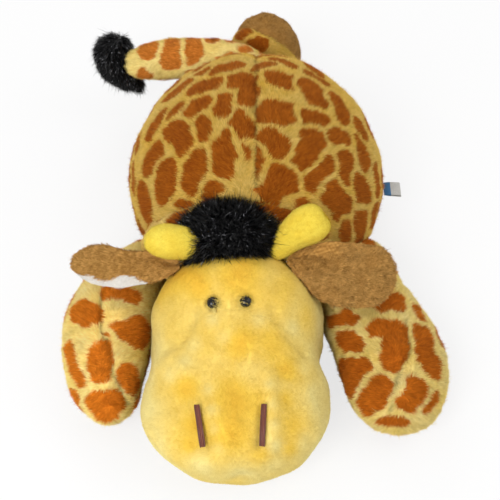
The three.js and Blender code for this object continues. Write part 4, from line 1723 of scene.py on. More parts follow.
    def build(self) -> None:
        """Makes the head's panels and their pile."""
        skin = self.shop.skins.cut("head_skin", self.form(), 88, 62, 2.4)
        points = points_of(skin)
        behind = points[:, 1] > -118
        kept = self.shop.neighbours.tree("head_stuffing")
        points[behind] = drawn_in(points[behind], kept, 1.6, -0.6)
        off_floor(points)
        move_points(skin, points)
        arch = self.arch_distance(points)
        held = np.maximum(np.exp(-((arch / 4) ** 2)), (points[:, 1] > -112) * 1.0)
        held = np.maximum(held, np.exp(-(((points[:, 2] - self.chin_height) / 4) ** 2)))
        held = np.maximum(held, points[:, 2] < 1)
        self.shop.skins.pad(skin, np.clip(held, 0, 1), 4, 1.6)
        refine(skin)
        creased(skin, self.creases)
        points, normals = points_of(skin), normals_of(skin)
        points += normals * (ripple(points, 34, 13) * 0.7 + ripple(points, 4, 14) * 0.05)[:, None]
        off_floor(points)
        move_points(skin, points)
        self.cover(skin)

    def arch_distance(self, points: Array) -> Array:
        """How far points lie from the muzzle's arched seam, seen from above."""
        across, deep, seat = 86.0, 80.0, 15.0
        x = (points[:, 0] + self.offset) / across
        y = (points[:, 1] - self.nose_y - seat) / deep
        return (np.hypot(x, np.maximum(y, 0)) - 1) * deep

    def cover(self, skin: bpy.types.Object) -> None:
        """Parts the skin into its panels, and grows the pile on each.

        Args:
            skin: The whole skin.
        """
        middles = middles_of(skin)
        chin = middles[:, 2] < self.chin_height
        muzzle = self.arch_distance(middles) < 0
        panels = {"muzzle_panel": muzzle & ~chin, "forehead_panel": ~muzzle & ~chin,
                  "chin_panel": chin}
        touching = ("torso_stuffing", "neck", "foreleg_left", "foreleg_right")
        lift = self.lift(tree_of(skin))
        kept = self.shop.neighbours.tree("head_stuffing")

        def share(roots: Array, normals: Array) -> Array:
            """Grows no pile under a neighbour, at the nape or where the skin faces the floor."""
            covered = self.shop.neighbours.inside(roots, (*touching, "forelock"), 1.0)
            return np.where(covered | (normals[:, 2] < -0.8) | (roots[:, 1] > -104), 0.0, 1.0)

        def clear(tips: Array) -> Array:
            """Keeps tips out of what lies against the head."""
            return self.shop.neighbours.press(tips, touching)

        for number, (node, keep) in enumerate(panels.items()):
            panel = panel_of(skin, node.replace("panel", "skin"), keep)
            values_on(panel, "lift", lift(points_of(panel)))
            shade_cloth(panel, 0.5, 0.7)
            finish = YellowPlush()
            grown = Pile(self.pile, finish, 60 + number).grow(
                node.replace("panel", "pile"), panel, self.comb, {"lift": lift}, share, clear)
            if node == "forehead_panel":
                self.fringe(panel, lift)
            self.shop.close(panel, grown, finish, "head", node)
        filling = self.shop.skins.filling("head_stuffing", self.form(), 9)
        move_points(filling, drawn_in(points_of(filling), kept, 0.5, 3))
        self.shop.mount(filling, "head", "head_stuffing")
        bpy.data.objects.remove(skin)


@dataclass
class Limb:
    """A stuffed part of one skin: a leg, the neck, the tail, a horn or a layer of an ear."""

    shop: Workshop
    node: str
    body: str
    form: Form
    pile: PileCut
    patches: tuple[Patch, ...]
    seed: int
    around: int = 56
    along: int = 42
    inset: float = 4.0
    creases: tuple[Crease, ...] = ()
    presses: tuple[str, ...] = ()
    flow: Point = (0.0, -1.0, -0.3)
    finish: Finish = PrintedPlush()
    plain: bool = False
    reshape: PointRule | None = None
    wool: float = 0.12
    grain: Point = (1.0, 1.0, 1.0)
    bare: PointRule | None = None
    parting: float = 0.0
    slack: float = 1.6
    eased: int = 0
    mottled: float = 0.0

    def comb(self, roots: Array, normals: Array) -> Array:
        """The pile runs along the limb, and parts to its sides."""
        flow = np.zeros_like(roots) + np.array(self.flow)
        flow += ripple(roots, 22, self.seed)[:, None] * np.array((0.35, 0.15, 0))
        if self.parting:
            spine = spline(np.array(self.form.spine), np.linspace(0, 1, 24))
            nearest = ((roots[:, None] - spine[None]) ** 2).sum(axis=2).argmin(axis=1)
            flow += unit(roots - spine[nearest]) * (self.parting, self.parting, 0)
        return flow

    def folds(self, tree: BVHTree) -> PointRule:
        """How much painted shade points get along its seams, worked out from its creases."""
        lines = [crease.laid(tree) for crease in self.creases if crease.depth > 0]

        def depth(points: Array) -> Array:
            """From 0 on open cloth up to the deepest painted shade in a fold."""
            value = np.zeros(len(points))
            for line in lines:
                if len(line):
                    value = np.maximum(value, np.exp(-((distance_to(points, line) / 1.5) ** 2)))
            return value * 0.75

        return depth

    def build(self) -> None:
        """Makes the limb's skin and its pile, and no pile where the skin is bare all over."""
        skin = self.shop.skins.cut(f"{self.node}_skin", self.form, self.around, self.along,
                                   self.inset, self.node, self.slack)
        if self.plain:
            finish_with(skin, "SMOOTH", factor=0.5, iterations=self.eased)
        points = points_of(skin)
        if self.reshape is not None:
            points = self.reshape(points)
            move_points(skin, points)
        held = (points[:, 2] < 1) * 1.0
        tree = tree_of(skin)
        for crease in self.creases:
            held = np.maximum(held, np.clip(np.abs(crease.pressed(skin, tree)) / 3, 0, 1))
        self.shop.skins.pad(skin, held, 3, 1.2)
        refine(skin)
        if self.creases:
            creased(skin, self.creases)
        points, normals = points_of(skin), normals_of(skin)
        relief = ripple(points, 26, self.seed + 2) * 0.6
        relief += ripple(points * self.grain, 4.6, self.seed) * self.wool
        points += normals * relief[:, None]
        points = self.shop.neighbours.press(points, self.presses, 0.5)
        off_floor(points)
        move_points(skin, points)
        if self.plain:
            finish_with(skin, "SMOOTH", factor=0.5, iterations=self.eased // 2)
        values: dict[str, PointRule] = {}
        if not self.plain:
            artwork = Print(self.patches, self.seed)
            artwork.lay_out(skin)
            values_on(skin, "print", artwork.on(points_of(skin), 0.0))
            values["print"] = lambda roots: artwork.on(roots, 0.35)
            # The fold value carries painted shade along the seams' creases.
            values["fold"] = self.folds(tree_of(skin))
            values_on(skin, "fold", values["fold"](points_of(skin)))
        mottling = ripple(points_of(skin), 3.2, self.seed + 7) * self.mottled
        shade_cloth(skin, 0.45 + mottling)

        def share(roots: Array, normals: Array) -> Array:
            """Grows no pile in a neighbour, where the limb is bare, or underneath."""
            covered = self.shop.neighbours.inside(roots, self.presses, 0.0)
            if self.bare is not None:
                covered |= self.bare(roots)
            return np.where(covered | underneath(roots, normals), 0.0, 1.0)

        grown = Pile(self.pile, self.finish, self.seed).grow(
            f"{self.node}_pile", skin, self.comb, values, share,
            lambda tips: self.shop.neighbours.press(tips, self.presses))
        self.finish.dress(skin)
        self.shop.mount(skin, self.body, self.node)
        if grown.data.polygons:
            self.shop.mount(grown, self.body)
        else:
            bpy.data.objects.remove(grown)


@dataclass
class Neck:
    """The short neck between the torso and the head, under the horns."""

    shop: Workshop
    patches: tuple[Patch, ...] = (
        Patch(((152, 226), (161, 211)), 6),
        Patch(((176, 224), (184, 216)), 5),
        Patch(((186, 204), (192, 210)), 4),
        Patch(((140, 228), (142, 236)), 4),
        Patch(((302, 220), (318, 230)), 7),
        Patch(((330, 214), (336, 226)), 6),
    )

    def build(self) -> None:
        """Makes the neck's skin and pile."""
        form = Form(((-14, -37, 62), (-14, -125, 62)), 72, 47, 42, bluntness=2.3)
        pile = PileCut(density=4.0, length=5.6, width=0.4, lean=34, clump=2.6, pull=0.6,
                       scatter=0.4)
        finish = PrintedPlush(label="printed_plush_nape", ground_warm=linear(253, 206, 80),
                              ground_pale=linear(255, 230, 150))

        def bare(roots: Array) -> Array:
            """Where the neck runs inside the torso, or low between the forelegs."""
            back = np.array((Torso.half_width, Torso.half_length, Torso.rise)) - 3
            inside = (((roots - (0, 0, Torso.seam_height)) / back) ** 2).sum(axis=1) < 1
            return inside | (roots[:, 2] < 58)

        def sunk(points: Array) -> Array:
            """Draws the top of the neck down where it meets the torso."""
            points = points.copy()
            points[:, 2] -= 12 * smooth(-90, -68, points[:, 1]) * (points[:, 2] > 62)
            return points

        Limb(self.shop, "neck", "torso", form, pile, self.patches, 131, reshape=sunk,
             presses=("head_stuffing", "torso_stuffing"), inset=3.0, flow=(0, 0.7, -0.2),
             parting=0.7, finish=finish, bare=bare).build()


@dataclass
class Foreleg:
    """One foreleg, stretched forward beside the head."""

    shop: Workshop
    side: Side
    pile: PileCut = PileCut(density=4.4, length=3.8, width=0.34, lean=34, scatter=0.3,
                            clump=1.5, pull=0.3, spread=0.13)

    def spine(self) -> tuple[Point, ...]:
        """The leg's middle line, from its shoulder to its toes."""
        if self.side is Side.LEFT:
            return ((76.3, -50, 28), (80.3, -106.7, 28), (98.3, -163.3, 28), (97.3, -220, 28))
        return ((-76.3, -50, 28), (-98.3, -105, 28), (-108.3, -160, 28), (-99.3, -215, 28))

    def patches(self) -> tuple[Patch, ...]:
        """The print that the viewer sees on this leg."""
        if self.side is Side.RIGHT:
            return (
                Patch(((81, 311), (93, 318)), 9),
                Patch(((82, 287), (68, 315)), 3.5),
                Patch(((110, 294), (131, 297)), 6),
                Patch(((123, 332), (136, 338), (138, 326)), 10),
                Patch(((109, 336),), 3.5),
                Patch(((101, 352), (102, 371)), 8.5),
                Patch(((70, 347), (75, 367), (83, 381)), 3.5),
                Patch(((126, 377), (130, 384)), 9),
                Patch(((97, 401), (114, 401), (107, 410)), 8.5),
                Patch(((135, 404), (136, 406)), 4.5),
                Patch(((124, 425),), 3.5),
            )
        return (
            Patch(((381, 330), (397, 333), (394, 361)), 9.5),
            Patch(((347, 335), (358, 346)), 8),
            Patch(((334, 320), (354, 320), (347, 315)), 4.5),
            Patch(((381, 308), (394, 299), (396, 308)), 5.5),
            Patch(((326, 337),), 4),
            Patch(((414, 309), (419, 321)), 2.5),
            Patch(((420, 334), (424, 350), (430, 368)), 8),
            Patch(((347, 369), (360, 370), (352, 386), (337, 395)), 9.5),
            Patch(((380, 388), (371, 405)), 10.5),
            Patch(((417, 388), (409, 402)), 8),
            Patch(((434, 395), (425, 407)), 3.5),
            Patch(((381, 419), (399, 420)), 4),
            Patch(((334, 400), (338, 405)), 3.5),
        )

    def creases(self) -> tuple[Crease, ...]:
        """The seam over the foot, as seen by the viewer."""
        if self.side is Side.RIGHT:
            line = ((104, 293), (101, 309), (103, 332), (109, 353), (111, 373), (119, 390),
                    (126, 404), (131, 424))
            return (Crease(line, 2.2, 3.0), Crease(((131, 426), (130, 434)), 2.5, 6))
        return (Crease(((404, 322), (408, 350), (398, 382), (392, 410)), 0.9, 4),
                Crease(((330, 352), (345, 356)), 1.5, 6))

    def build(self) -> None:
        """Makes the leg's skin and pile."""
        right = self.side is Side.RIGHT
        form = Form(self.spine(), 35 if right else 42, 28, 36, (0.72, 0.9, 1, 0.98), (1, 1),
                    (1, 1), 2.2 if right else 3.2)
        node = f"foreleg_{self.side.word}"
        # A copy of the printed plush painted lighter, the right paw more than the left, with less
        # painted shade at the roots: painted light.
        finish = PrintedPlush(label=f"printed_plush_paw_{self.side.word}",
                              root_shade=1.0 if right else 0.7,
                              patch_deep=linear(194, 90, 8) if right else linear(172, 76, 6),
                              patch_light=linear(238, 144, 40) if right else linear(222, 126, 32),
                              ground_warm=linear(255, 218, 98),
                              ground_pale=linear(255, 238, 170))
        Limb(self.shop, node, node, form, self.pile, self.patches(), 140 + self.side.value,
             creases=self.creases(), finish=finish, around=64, along=54, flow=(0, 0.25, -0.5),
             parting=1.0, presses=("head_stuffing", "torso_stuffing"),
             reshape=self.shouldered).build()

    def shouldered(self, points: Array) -> Array:
        """Fills the right leg's shoulder out to its far side, as it bulges under the ear."""
        if self.side is Side.LEFT:
            return points
        moved = points.copy()
        out = smooth(96, 122, -points[:, 0]) * smooth(-178, -104, points[:, 1])
        moved[:, 0] -= 8 * out * smooth(4, 20, points[:, 2])
        return moved


@dataclass
class Hindleg:
    """One hind leg: a printed leg and instep, with a plain sole."""

    shop: Workshop
    side: Side
    pile: PileCut = PileCut(density=3.4, length=3.6, width=0.36, lean=34, clump=1.4, pull=0.3)
    sole_pile: PileCut = PileCut(density=3.6, length=2.6, width=0.34, lean=36, clump=2.0,
                                 pull=0.3, scatter=0.9, mottle=0.2)
    seam_way: Point = (0.45, 0.75, 0.48)
    instep: tuple[Patch, ...] = (
        Patch(((238, 36), (246, 33)), 4),
        Patch(((250, 42), (263, 44)), 5),
        Patch(((232, 46), (240, 50)), 4),
    )

    def forms(self) -> tuple[Form, Form]:
        """The leg's form and the foot's."""
        if self.side is Side.LEFT:
            leg = Form(((9, 77.6, 28), (9, 162.6, 28)), 28, 27, 34, bluntness=3)
            foot = Form(((9, 125.6, 40), (9, 199.6, 40)), 35, 42, 48, bluntness=2.1)
            return leg, foot
        leg = Form(((-58, 59.7, 28), (-58, 98.7, 28)), 28, 27, 34, bluntness=3)
        foot = Form(((-58, 67.7, 24), (-58, 129.7, 24)), 35, 26, 32, bluntness=2.1)
        return leg, foot

    def build(self) -> None:
        """Makes the leg, the instep and the sole."""
        leg, foot = self.forms()
        node = f"hindleg_{self.side.word}"
        Limb(self.shop, node, node, leg, self.pile, (), 150 + self.side.value,
             presses=("torso_stuffing", "tail"), around=40, along=28).build()
        self.foot(foot, node)

    def foot(self, form: Form, body: str) -> None:
        """Makes the foot in its two panels, parted by the seam round the sole.

        Args:
            form: The foot's form.
            body: The body that carries it.
        """
        word = self.side.word
        avoid = ("torso_stuffing", "tail")
        skin = self.shop.skins.cut(f"hindfoot_{word}_skin", form, 48, 36, 2.6)
        refine(skin)
        way = unit(np.array(self.seam_way))
        middle = (np.array(form.spine[0]) + np.array(form.spine[1])) / 2

        def past_seam(points: Array) -> Array:
            """How far points lie past the sole's seam, towards the sole."""
            return (points - middle) @ way - (6 if self.side is Side.LEFT else 0)

        points, normals = points_of(skin), normals_of(skin)
        dip = 1.6 * np.exp(-np.abs(past_seam(points)) / 2.5)
        relief = ripple(points, 24, 163) * 0.6 + ripple(points, 4.6, 164) * 0.15 - dip
        points += normals * relief[:, None]
        points = self.shop.neighbours.press(points, avoid, 0.5)
        off_floor(points)
        move_points(skin, points)
        artwork = Print(self.instep if self.side is Side.LEFT else (), 165)
        artwork.lay_out(skin)
        sole = past_seam(middles_of(skin)) > 0

        def share(roots: Array, normals: Array) -> Array:
            """Grows no pile in a neighbour or underneath."""
            covered = self.shop.neighbours.inside(roots, avoid, 0.0)
            return np.where(covered | underneath(roots, normals), 0.0, 1.0)

        def comb(roots: Array, normals: Array) -> Array:
            """The foot's pile runs down."""
            return np.zeros_like(roots) + np.array((0.1, 0.3, -1))

        kinds = ((f"hindfoot_instep_{word}", ~sole, self.pile, PrintedPlush(), ()),
                 (f"hindfoot_sole_{word}", sole, self.sole_pile, PlainPile(),
                  (f"hindfoot_sole_{word}",)))
        for number, (name, keep, cut, finish, stands_for) in enumerate(kinds):
            panel = panel_of(skin, f"{name}_skin", keep)
            values_on(panel, "print", artwork.on(points_of(panel), 0.0))
            shade_cloth(panel)
            grown = Pile(cut, finish, 166 + number).grow(
                f"{name}_pile", panel, comb, {"print": lambda roots: artwork.on(roots, 0.35)},
                share, lambda tips: self.shop.neighbours.press(tips, avoid))
            self.shop.close(panel, grown, finish, body, *stands_for)
        bpy.data.objects.remove(skin)


@dataclass
class Tail:
    """The printed tail that lies to the animal's right, and the black brush at its end."""

    shop: Workshop
    pile: PileCut = PileCut(density=4.4, length=3.6, width=0.34, lean=34, scatter=0.3, clump=1.4,
                            pull=0.3, spread=0.13)
    brush: PileCut = PileCut(density=4.0, length=10, width=0.44, lean=22, clump=3.0, pull=0.4,
                             segments=3, curl=2.0, bend=-1.0, scatter=0.5, jitter=0.9, twist=1.0)
    patches: tuple[Patch, ...] = (
        Patch(((140, 47), (151, 48)), 9.5),
        Patch(((172, 45), (171, 58)), 9.5),
        Patch(((196, 41), (194, 56)), 7),
        Patch(((212, 40), (226, 41)), 3.5),
        Patch(((246, 50), (266, 52)), 4.5),
        Patch(((146, 75), (156, 80)), 4),
        Patch(((172, 81),), 3),
        Patch(((192, 73), (206, 66)), 3),
        Patch(((220, 59), (233, 56)), 2.5),
    )

    def build(self) -> None:
        """Makes the tail and its brush."""
        spine = ((18, 100, 71), (-15, 119, 71), (-60, 124, 69), (-119, 123, 61))
        form = Form(spine, 21, 21, 21, (0.55, 0.72, 0.86, 0.96, 1), bluntness=3)
        # The tail's printed plush is a copy painted lighter, with less painted shade at the roots:
        # painted light.
        Limb(self.shop, "tail", "tail", form, self.pile, self.patches, 180,
             presses=("torso_stuffing",), flow=(-1, 0, -0.1), around=52, along=48, inset=2.2,
             finish=PrintedPlush(
                 label="printed_plush_tail", root_shade=0.95, patch_deep=linear(192, 100, 24),
                 patch_light=linear(236, 154, 64), ground_warm=linear(254, 224, 118),
                 ground_pale=linear(255, 238, 170))).build()
        self.tuft()

    def tuft(self) -> None:
        """Makes the brush of long black pile."""
        core = Form(((-119, 139, 86), (-127, 132, 62), (-102, 116, 36)), 21, 21, 21,
                    (0.8, 1, 0.95, 0.6))
        points, faces = core.grid(32, 24, 5.5)
        skin = mesh_object("tail_tuft_core", points, faces)

        def comb(roots: Array, normals: Array) -> Array:
            """The brush hangs down and fans out."""
            return np.array((-0.2, -0.35, -1.0)) + (roots - (-122, 130, 60)) * 0.02

        shade_cloth(skin, 0.3, 0.2)
        grown = Pile(self.brush, BLACK_PILE, 190).grow(
            "tail_tuft_pile", skin, comb, {}, None,
            lambda tips: self.shop.neighbours.press(tips, ("tail",)))
        BLACK_PILE.dress(skin)
        self.shop.mount(skin, "tail", "tail_tuft")
        self.shop.mount(grown, "tail")


@dataclass
class Ear:
    """One ear: a leaf of tan fleece over a white lining."""

    shop: Workshop
    side: Side

    def form(self, rise: float, drop: float, wider: float = 0) -> Form:
        """A layer of the ear."""
        if self.side is Side.LEFT:
            spine = ((20.25, -120, 87), (61.25, -118, 76.5), (102.25, -116, 66))
            root = 0.15 if wider else 0.55
            return Form(spine, 29 + wider, rise, drop, (root, 0.9, 1, 0.92), (1, 1), (1, 1),
                        2.4, 27)
        spine = ((-48.25, -120, 87), (-92.25, -112, 73.5), (-136.25, -104, 66))
        root = 0.12 if wider else 0.55
        return Form(spine, 18 + wider, rise, drop, (root, 0.9, 1, 0.92), (1, 1), (1, 1), 2.4, -28)

    def shaped(self, points: Array, band: float) -> Array:
        """Draws a layer's edges in, so that it hangs as the viewer sees it.

        Args:
            points: The layer's points.
            band: How far the front edge is drawn back, which bares the lining.

        Returns:
            The points, moved.
        """
        moved = points.copy()
        if self.side is Side.LEFT:
            across = (points[:, 1] + 120 - (points[:, 0] - 20) * 0.05) / 29
            rear = smooth(0.1, 1.0, across) * np.exp(-(((points[:, 0] - 66) / 36) ** 2))
            moved -= rear[:, None] * np.array((0, 8, 2))
            return moved
        if not band:
            root = smooth(74, 58, -points[:, 0])
            moved[:, 2] -= 3.5 * root
        across = (points[:, 1] + 120 + (points[:, 0] + 48.25) * 0.18) / 18
        front = smooth(0.1, 1.0, -across) * np.exp(-(((points[:, 0] + 110) / 34) ** 4))
        rear = smooth(0.0, 1.0, across) * np.exp(-(((points[:, 0] + 86) / 22) ** 2))
        moved[:, 1] += band * front - 8 * rear
        return moved

    def build(self) -> None:
        """Makes the ear's two layers and their pile."""
        word = self.side.word
        body = f"ear_{word}"
        left = self.side is Side.LEFT
        pile = PileCut(density=4.0, length=3.2, width=0.38, lean=30, clump=2.0,
                       pull=0.45, scatter=0.6 if left else 0.4, mottle=0.2, segments=2,
                       curl=0.7 if left else 0.3, tuft=2.4)
        flow = (self.side.value * 1.0, 0.1, -0.3)
        avoid = ("head_stuffing", f"horn_{word}", f"foreleg_{word}")
        creases = (Crease(((338, 250), (347, 262), (354, 278)), 2.0, 13.0),
                   Crease(((312, 282), (334, 300), (350, 304)), -0.8, 10.0)) if left else ()
        Limb(self.shop, body, body, self.form(5, 0.2), pile, (), 200 + self.side.value,
             presses=avoid, around=64, along=46, inset=0.8,
             flow=flow, plain=True, creases=creases,
             finish=PlainPile(label="tan_ear_fleece", contrast=0.65,
                              deep=linear(170, 116, 48), light=linear(224, 174, 100)),
             reshape=lambda points: self.shaped(points, 6.0), wool=0.22 if left else 0.12,
             grain=(0.5, 1.3, 1), eased=14, mottled=0.2).build()
        lining_pile = PileCut(density=2.4, length=1.6, width=0.45, lean=30, clump=2.0)
        node = f"ear_lining_{word}"
        Limb(self.shop, node, body, self.form(0.2, 4.6, -3.0 if left else -0.5), lining_pile, (),
             210 + self.side.value, presses=avoid, around=48, along=32, inset=0.4, flow=flow,
             plain=True, finish=LINING, eased=16, wool=0.03,
             bare=lambda roots: np.abs(roots[:, 0]) < (104 if left else 70),
             reshape=lambda points: self.shaped(points, 0.0)).build()


@dataclass
class Horn:
    """One horn: a stuffed club of bright velour."""

    shop: Workshop
    side: Side
    pile: PileCut = PileCut(density=5.0, length=1.5, width=0.3, lean=26, clump=0, scatter=0.8,
                            spread=0.1, twist=0.12, mottle=0.06)

    def spine(self) -> tuple[Point, ...]:
        """The horn's middle line, from its base to its tip."""
        if self.side is Side.LEFT:
            return (8, -114, 84.1), (28.5, -106, 103.1), (49, -98, 114.1)
        return (-34, -111, 86.5), (-55, -113, 101), (-78, -116, 107)

    def build(self) -> None:
        """Makes the horn."""
        node = f"horn_{self.side.word}"
        size, shares = 15.8, (0.62, 0.74, 0.97, 1)
        if self.side is Side.RIGHT:
            size, shares = 13.5, (0.7, 0.9, 1, 0.92)
        form = Form(self.spine(), size, size, size, shares, bluntness=2.6)
        Limb(self.shop, node, node, form, self.pile, (), 220 + self.side.value, around=44,
             along=36, inset=0.9, slack=5.0, wool=0.06, flow=(self.side.value, 0.2, 0.3),
             plain=True, finish=HORN).build()


@dataclass
class Forelock:
    """The forelock of long black pile between the horns."""

    shop: Workshop
    level: float = 87.5
    pile: PileCut = PileCut(density=5.0, length=13, width=0.44, lean=50, clump=2.6, pull=0.35,
                            segments=3, curl=4.0, bend=-2.0, scatter=1.2, spread=0.4, jitter=0.9,
                            twist=1.0, tuft=0.8)

    def build(self) -> None:
        """Makes the scalp and its pile."""
        spine = ((-50, -104, self.level), (-16, -102, self.level), (10, -92, self.level))
        core = Form(spine, 23, 25, 14, (1, 1, 0.85))
        points, faces = core.grid(32, 24, 0)
        avoid = ("head_stuffing", "torso_stuffing", "neck")
        points = self.shop.neighbours.press(points, avoid, 0.4)
        skin = mesh_object("forelock_scalp", points, faces)
        shade_cloth(skin, 0.3, 0.2)

        def comb(roots: Array, normals: Array) -> Array:
            """The forelock fans out from its middle."""
            return (roots - (-14, -90, 80)) * (1, 1, 0.4) + ripple(roots, 16, 9)[:, None] * 18

        def share(roots: Array, normals: Array) -> Array:
            """Grows pile on the top of the scalp alone."""
            return np.where(roots[:, 2] < 84, 0.0, 1.0)

        grown = Pile(self.pile, BLACK_PILE, 230).grow(
            "forelock_pile", skin, comb, {}, share,
            lambda tips: self.shop.neighbours.press(tips, avoid))
        BLACK_PILE.dress(skin)
        self.shop.mount(skin, "head", "forelock")
        self.shop.mount(grown, "head")


@dataclass
class Eye:
    """One button eye on its washer."""

    shop: Workshop
    side: Side
    radius: float = 4.1
    bulge: float = 3.0
    forward: float = 0.8
    sunk: float = 3.9

    def build(self) -> None:
        """Makes the button and dresses the washer."""
        word = self.side.word
        low, high = (np.array(corner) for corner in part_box(f"eye_{word}"))
        middle = (low + high) / 2 / MM
        top = np.array((middle[0], middle[1] - self.forward, high[2] / MM - self.sunk))
        lean = Vector((0, -0.42, 0.9)).to_track_quat("Z", "Y").to_euler()
        bpy.ops.object.select_all(action="DESELECT")
        bpy.ops.mesh.primitive_uv_sphere_add(segments=40, ring_count=24, radius=1,
                                             location=tuple(top * MM), rotation=lean,
                                             scale=(self.radius * MM, self.radius * MM,
                                                    self.bulge * MM))
        button = bpy.context.object
        button.name = f"eye_button_{word}"
        bpy.ops.object.transform_apply(location=True, rotation=True, scale=True)
        bpy.ops.object.shade_smooth()
        Moulded(label="black_gloss").dress(button)
        self.shop.mount(button, "head", f"eye_{word}")
        WASHER.dress_node(self.shop.nodes[f"eye_washer_{word}"])


@dataclass
class Nostril:
    """One nostril: a bar of satin stitches."""

    shop: Workshop
    side: Side
    threads: int = 4
    thickness: float = 0.6
    relief: float = 1.5
    stations: int = 7

    def build(self) -> None:
        """Lays the threads side by side."""
        word = self.side.word
        node = f"nostril_stitching_{word}"
        low, high = (np.array(corner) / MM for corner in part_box(node))
        tree = self.shop.neighbours.tree("muzzle_panel")
        lean = -1 if self.side is Side.RIGHT else 0.6
        middle = (low[0] + high[0]) / 2
        points: list[Array] = []
        faces: list[tuple[int, ...]] = []
        tones: list[Array] = []
        for k in range(self.threads):
            out = (k - (self.threads - 1) / 2) * self.thickness * 1.5
            stations: list[Point] = []
            for share in np.linspace(0, 1, self.stations):
                y = high[1] + (low[1] - high[1]) * share
                x = middle + out - lean * (share - 0.5) * (high[0] - low[0]) * 0.55
                place, normal, _, _ = tree.ray_cast(Vector((x, y, 200)) * MM, Vector((0, 0, -1)))
                spot = place + normal * (self.relief + 0.25 * math.sin(9 * share + k)) * MM
                stations.append(tuple(np.array(spot) / MM))
            form = Form(tuple(stations), self.thickness, self.thickness, self.thickness,
                        bluntness=6)
            grid, quads = form.grid(10, 26, 0)
            start = sum(len(rows) for rows in points)
            points.append(grid)
            faces += [tuple(start + i for i in quad) for quad in quads]
            tones.append(np.full(len(grid), (k * 0.37) % 1))
        piece = mesh_object(f"nostril_threads_{word}", np.vstack(points), faces)
        values_on(piece, "tone", np.concatenate(tones))
        SatinThread().dress(piece)
        self.shop.mount(piece, "head", node)


@dataclass
class SideLabel:
    """The bare loop of tape in the side seam."""

    shop: Workshop
    thickness: float = 0.3
    opening: float = 0.9
    sag: float = 0.8
    fold: float = 0.08

    def build(self) -> None:
        """Makes the loop, which leaves the seam, folds at its end and comes back."""
        low, high = (np.array(corner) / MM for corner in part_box("side_label"))
        bpy.ops.object.select_all(action="DESELECT")
        bpy.ops.mesh.primitive_grid_add(x_subdivisions=60, y_subdivisions=16, size=1)
        label = bpy.context.object
        label.name = "label_tape"
        flat = points_of(label) * MM
        way = (flat[:, 0] + 0.5) * 2 - 1
        width = flat[:, 1] * (high[1] - low[1] - 0.4)
        radius = self.opening
        reach = high[0] - low[0] - radius - 0.3
        straight = 1 - self.fold
        out = np.minimum(np.abs(way) / straight, 1)
        turn = np.clip(way / self.fold, -1, 1) * math.pi / 2
        near = np.abs(way) < self.fold
        x = np.where(near, reach + radius * np.cos(turn),
                     reach * (1 - (np.abs(way) - self.fold) / straight))
        z = np.where(near, radius * np.sin(turn), np.sign(way) * radius * (1 - out ** 6 * 0.8))
        curl = np.sin(width / 4.2) * 0.35 * x / reach
        points = np.stack([low[0] + x, (low[1] + high[1]) / 2 + width,
                           Torso.seam_height + z + curl - self.sag * (x / reach) ** 2], axis=1)
        move_points(label, points)
        finish_with(label, "SOLIDIFY", thickness=self.thickness * MM, offset=0.0)
        finish_with(label, "BEVEL", width=0.08 * MM, segments=2)
        bpy.ops.object.shade_smooth()
        Woven(band_end=float(low[0]) + 5.5).dress(label)
        self.shop.mount(label, "side_label", "side_label")


BLACK_PILE = PlainPile("black_pile", "black_long_pile", linear(3, 3, 4), linear(9, 9, 10), 0.5,
                       0.3, 0.35, 0.0, linear(150, 150, 170), 60, 0.84)
LINING = PlainPile("white_lining", "white_lining_pile", linear(216, 208, 196),
                   linear(246, 243, 238), 0.8, 0.95, 0.1, 0.3, linear(255, 255, 255), 60)
HORN = PlainPile("horn_velour", "horn_velour_pile", linear(248, 208, 50), linear(255, 242, 110),
                 0.8, 0.95, 0.1, 0.2, linear(255, 246, 150), 50)
WASHER = Moulded("white_plastic", "white_washer", linear(226, 226, 222), linear(240, 240, 238),
                 0.5, 0.0)


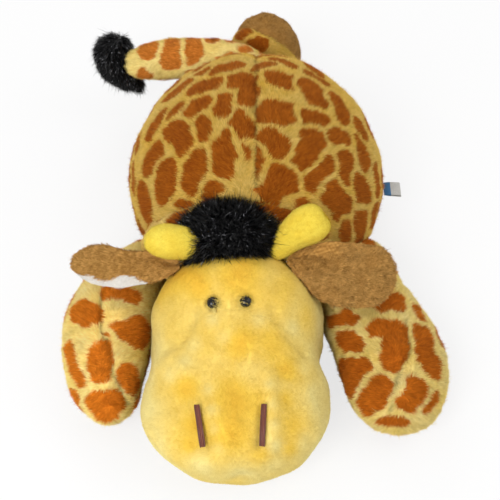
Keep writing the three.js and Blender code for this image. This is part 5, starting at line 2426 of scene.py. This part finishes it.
@dataclass
class Studio:
    """A pale floor, soft lights and the camera."""

    world_level: float = 0.74
    key_power: float = 11.0
    floor_size: float = 6.0
    floor_glow: float = 0.75

    def build(self) -> None:
        """Adds the stage."""
        VIEW.camera()
        self.floor()
        self.lamp("key", (-0.5, -1.0, 0.95), 0.7, self.key_power)
        self.lamp("fill", (0.9, -0.1, 0.9), 0.9, self.key_power * 0.3)
        self.lamp("back", (-0.3, 1.0, 0.8), 0.8, self.key_power * 0.35)
        self.world()
        bpy.context.scene.view_settings.view_transform = "Standard"

    def lamp(self, name: str, place: Point, size: float, power: float) -> None:
        """Adds one soft lamp that looks at the toy.

        Args:
            name: The lamp's name.
            place: Where it hangs.
            size: Its side.
            power: Its power in watts.
        """
        bpy.ops.object.select_all(action="DESELECT")
        aim = (Vector((0, -0.06, 0.05)) - Vector(place)).to_track_quat("-Z", "Y").to_euler()
        bpy.ops.object.light_add(type="AREA", location=place, rotation=aim)
        lamp = bpy.context.object
        lamp.name = name
        lamp.data.size = size
        lamp.data.energy = power

    def floor(self) -> None:
        """Adds the pale floor, which keeps the toy's shadow."""
        bpy.ops.object.select_all(action="DESELECT")
        bpy.ops.mesh.primitive_plane_add(size=self.floor_size, location=(0, 0, -0.0005))
        floor = bpy.context.object
        floor.name = "floor"
        bench = Bench("pale_floor", 0.9, 0.0)
        bench.shader.inputs["Base Color"].default_value = (0.86, 0.86, 0.86, 1)
        share = seen_rays(bench.tree) * self.floor_glow
        glow = bench.tree.nodes.new("ShaderNodeEmission")
        glow.inputs["Strength"].default_value = 1.0
        out = next(node for node in bench.tree.nodes if node.type == "OUTPUT_MATERIAL")
        join_shaders(bench.tree, (share.socket, bench.shader.outputs[0], glow.outputs[0]), out)
        floor.data.materials.append(bench.material)

    def world(self) -> None:
        """Sets the soft surrounding light, which the camera sees as white."""
        world = bpy.data.worlds.new("studio")
        bpy.context.scene.world = world
        world.use_nodes = True
        tree = world.node_tree
        tree.nodes.clear()
        soft, seen = (tree.nodes.new("ShaderNodeBackground") for _ in range(2))
        soft.inputs["Strength"].default_value = self.world_level
        seen.inputs["Strength"].default_value = 1.0
        out = tree.nodes.new("ShaderNodeOutputWorld")
        share = seen_rays(tree)
        join_shaders(tree, (share.socket, soft.outputs[0], seen.outputs[0]), out)


def main() -> None:
    """Builds the toy and its stage."""
    logging.basicConfig(level=logging.INFO, format="%(message)s")
    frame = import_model()
    nodes = frame["nodes"]
    Studio().build()
    neighbours = Neighbours(nodes)
    shop = Workshop(neighbours, Skins(neighbours), nodes)
    Torso(shop).build()
    Head(shop).build()
    Neck(shop).build()
    for side in Side:
        Foreleg(shop, side).build()
        Hindleg(shop, side).build()
        Ear(shop, side).build()
        Horn(shop, side).build()
        Eye(shop, side).build()
        Nostril(shop, side).build()
    Tail(shop).build()
    Forelock(shop).build()
    SideLabel(shop).build()


if __name__ == "__main__":
    main()
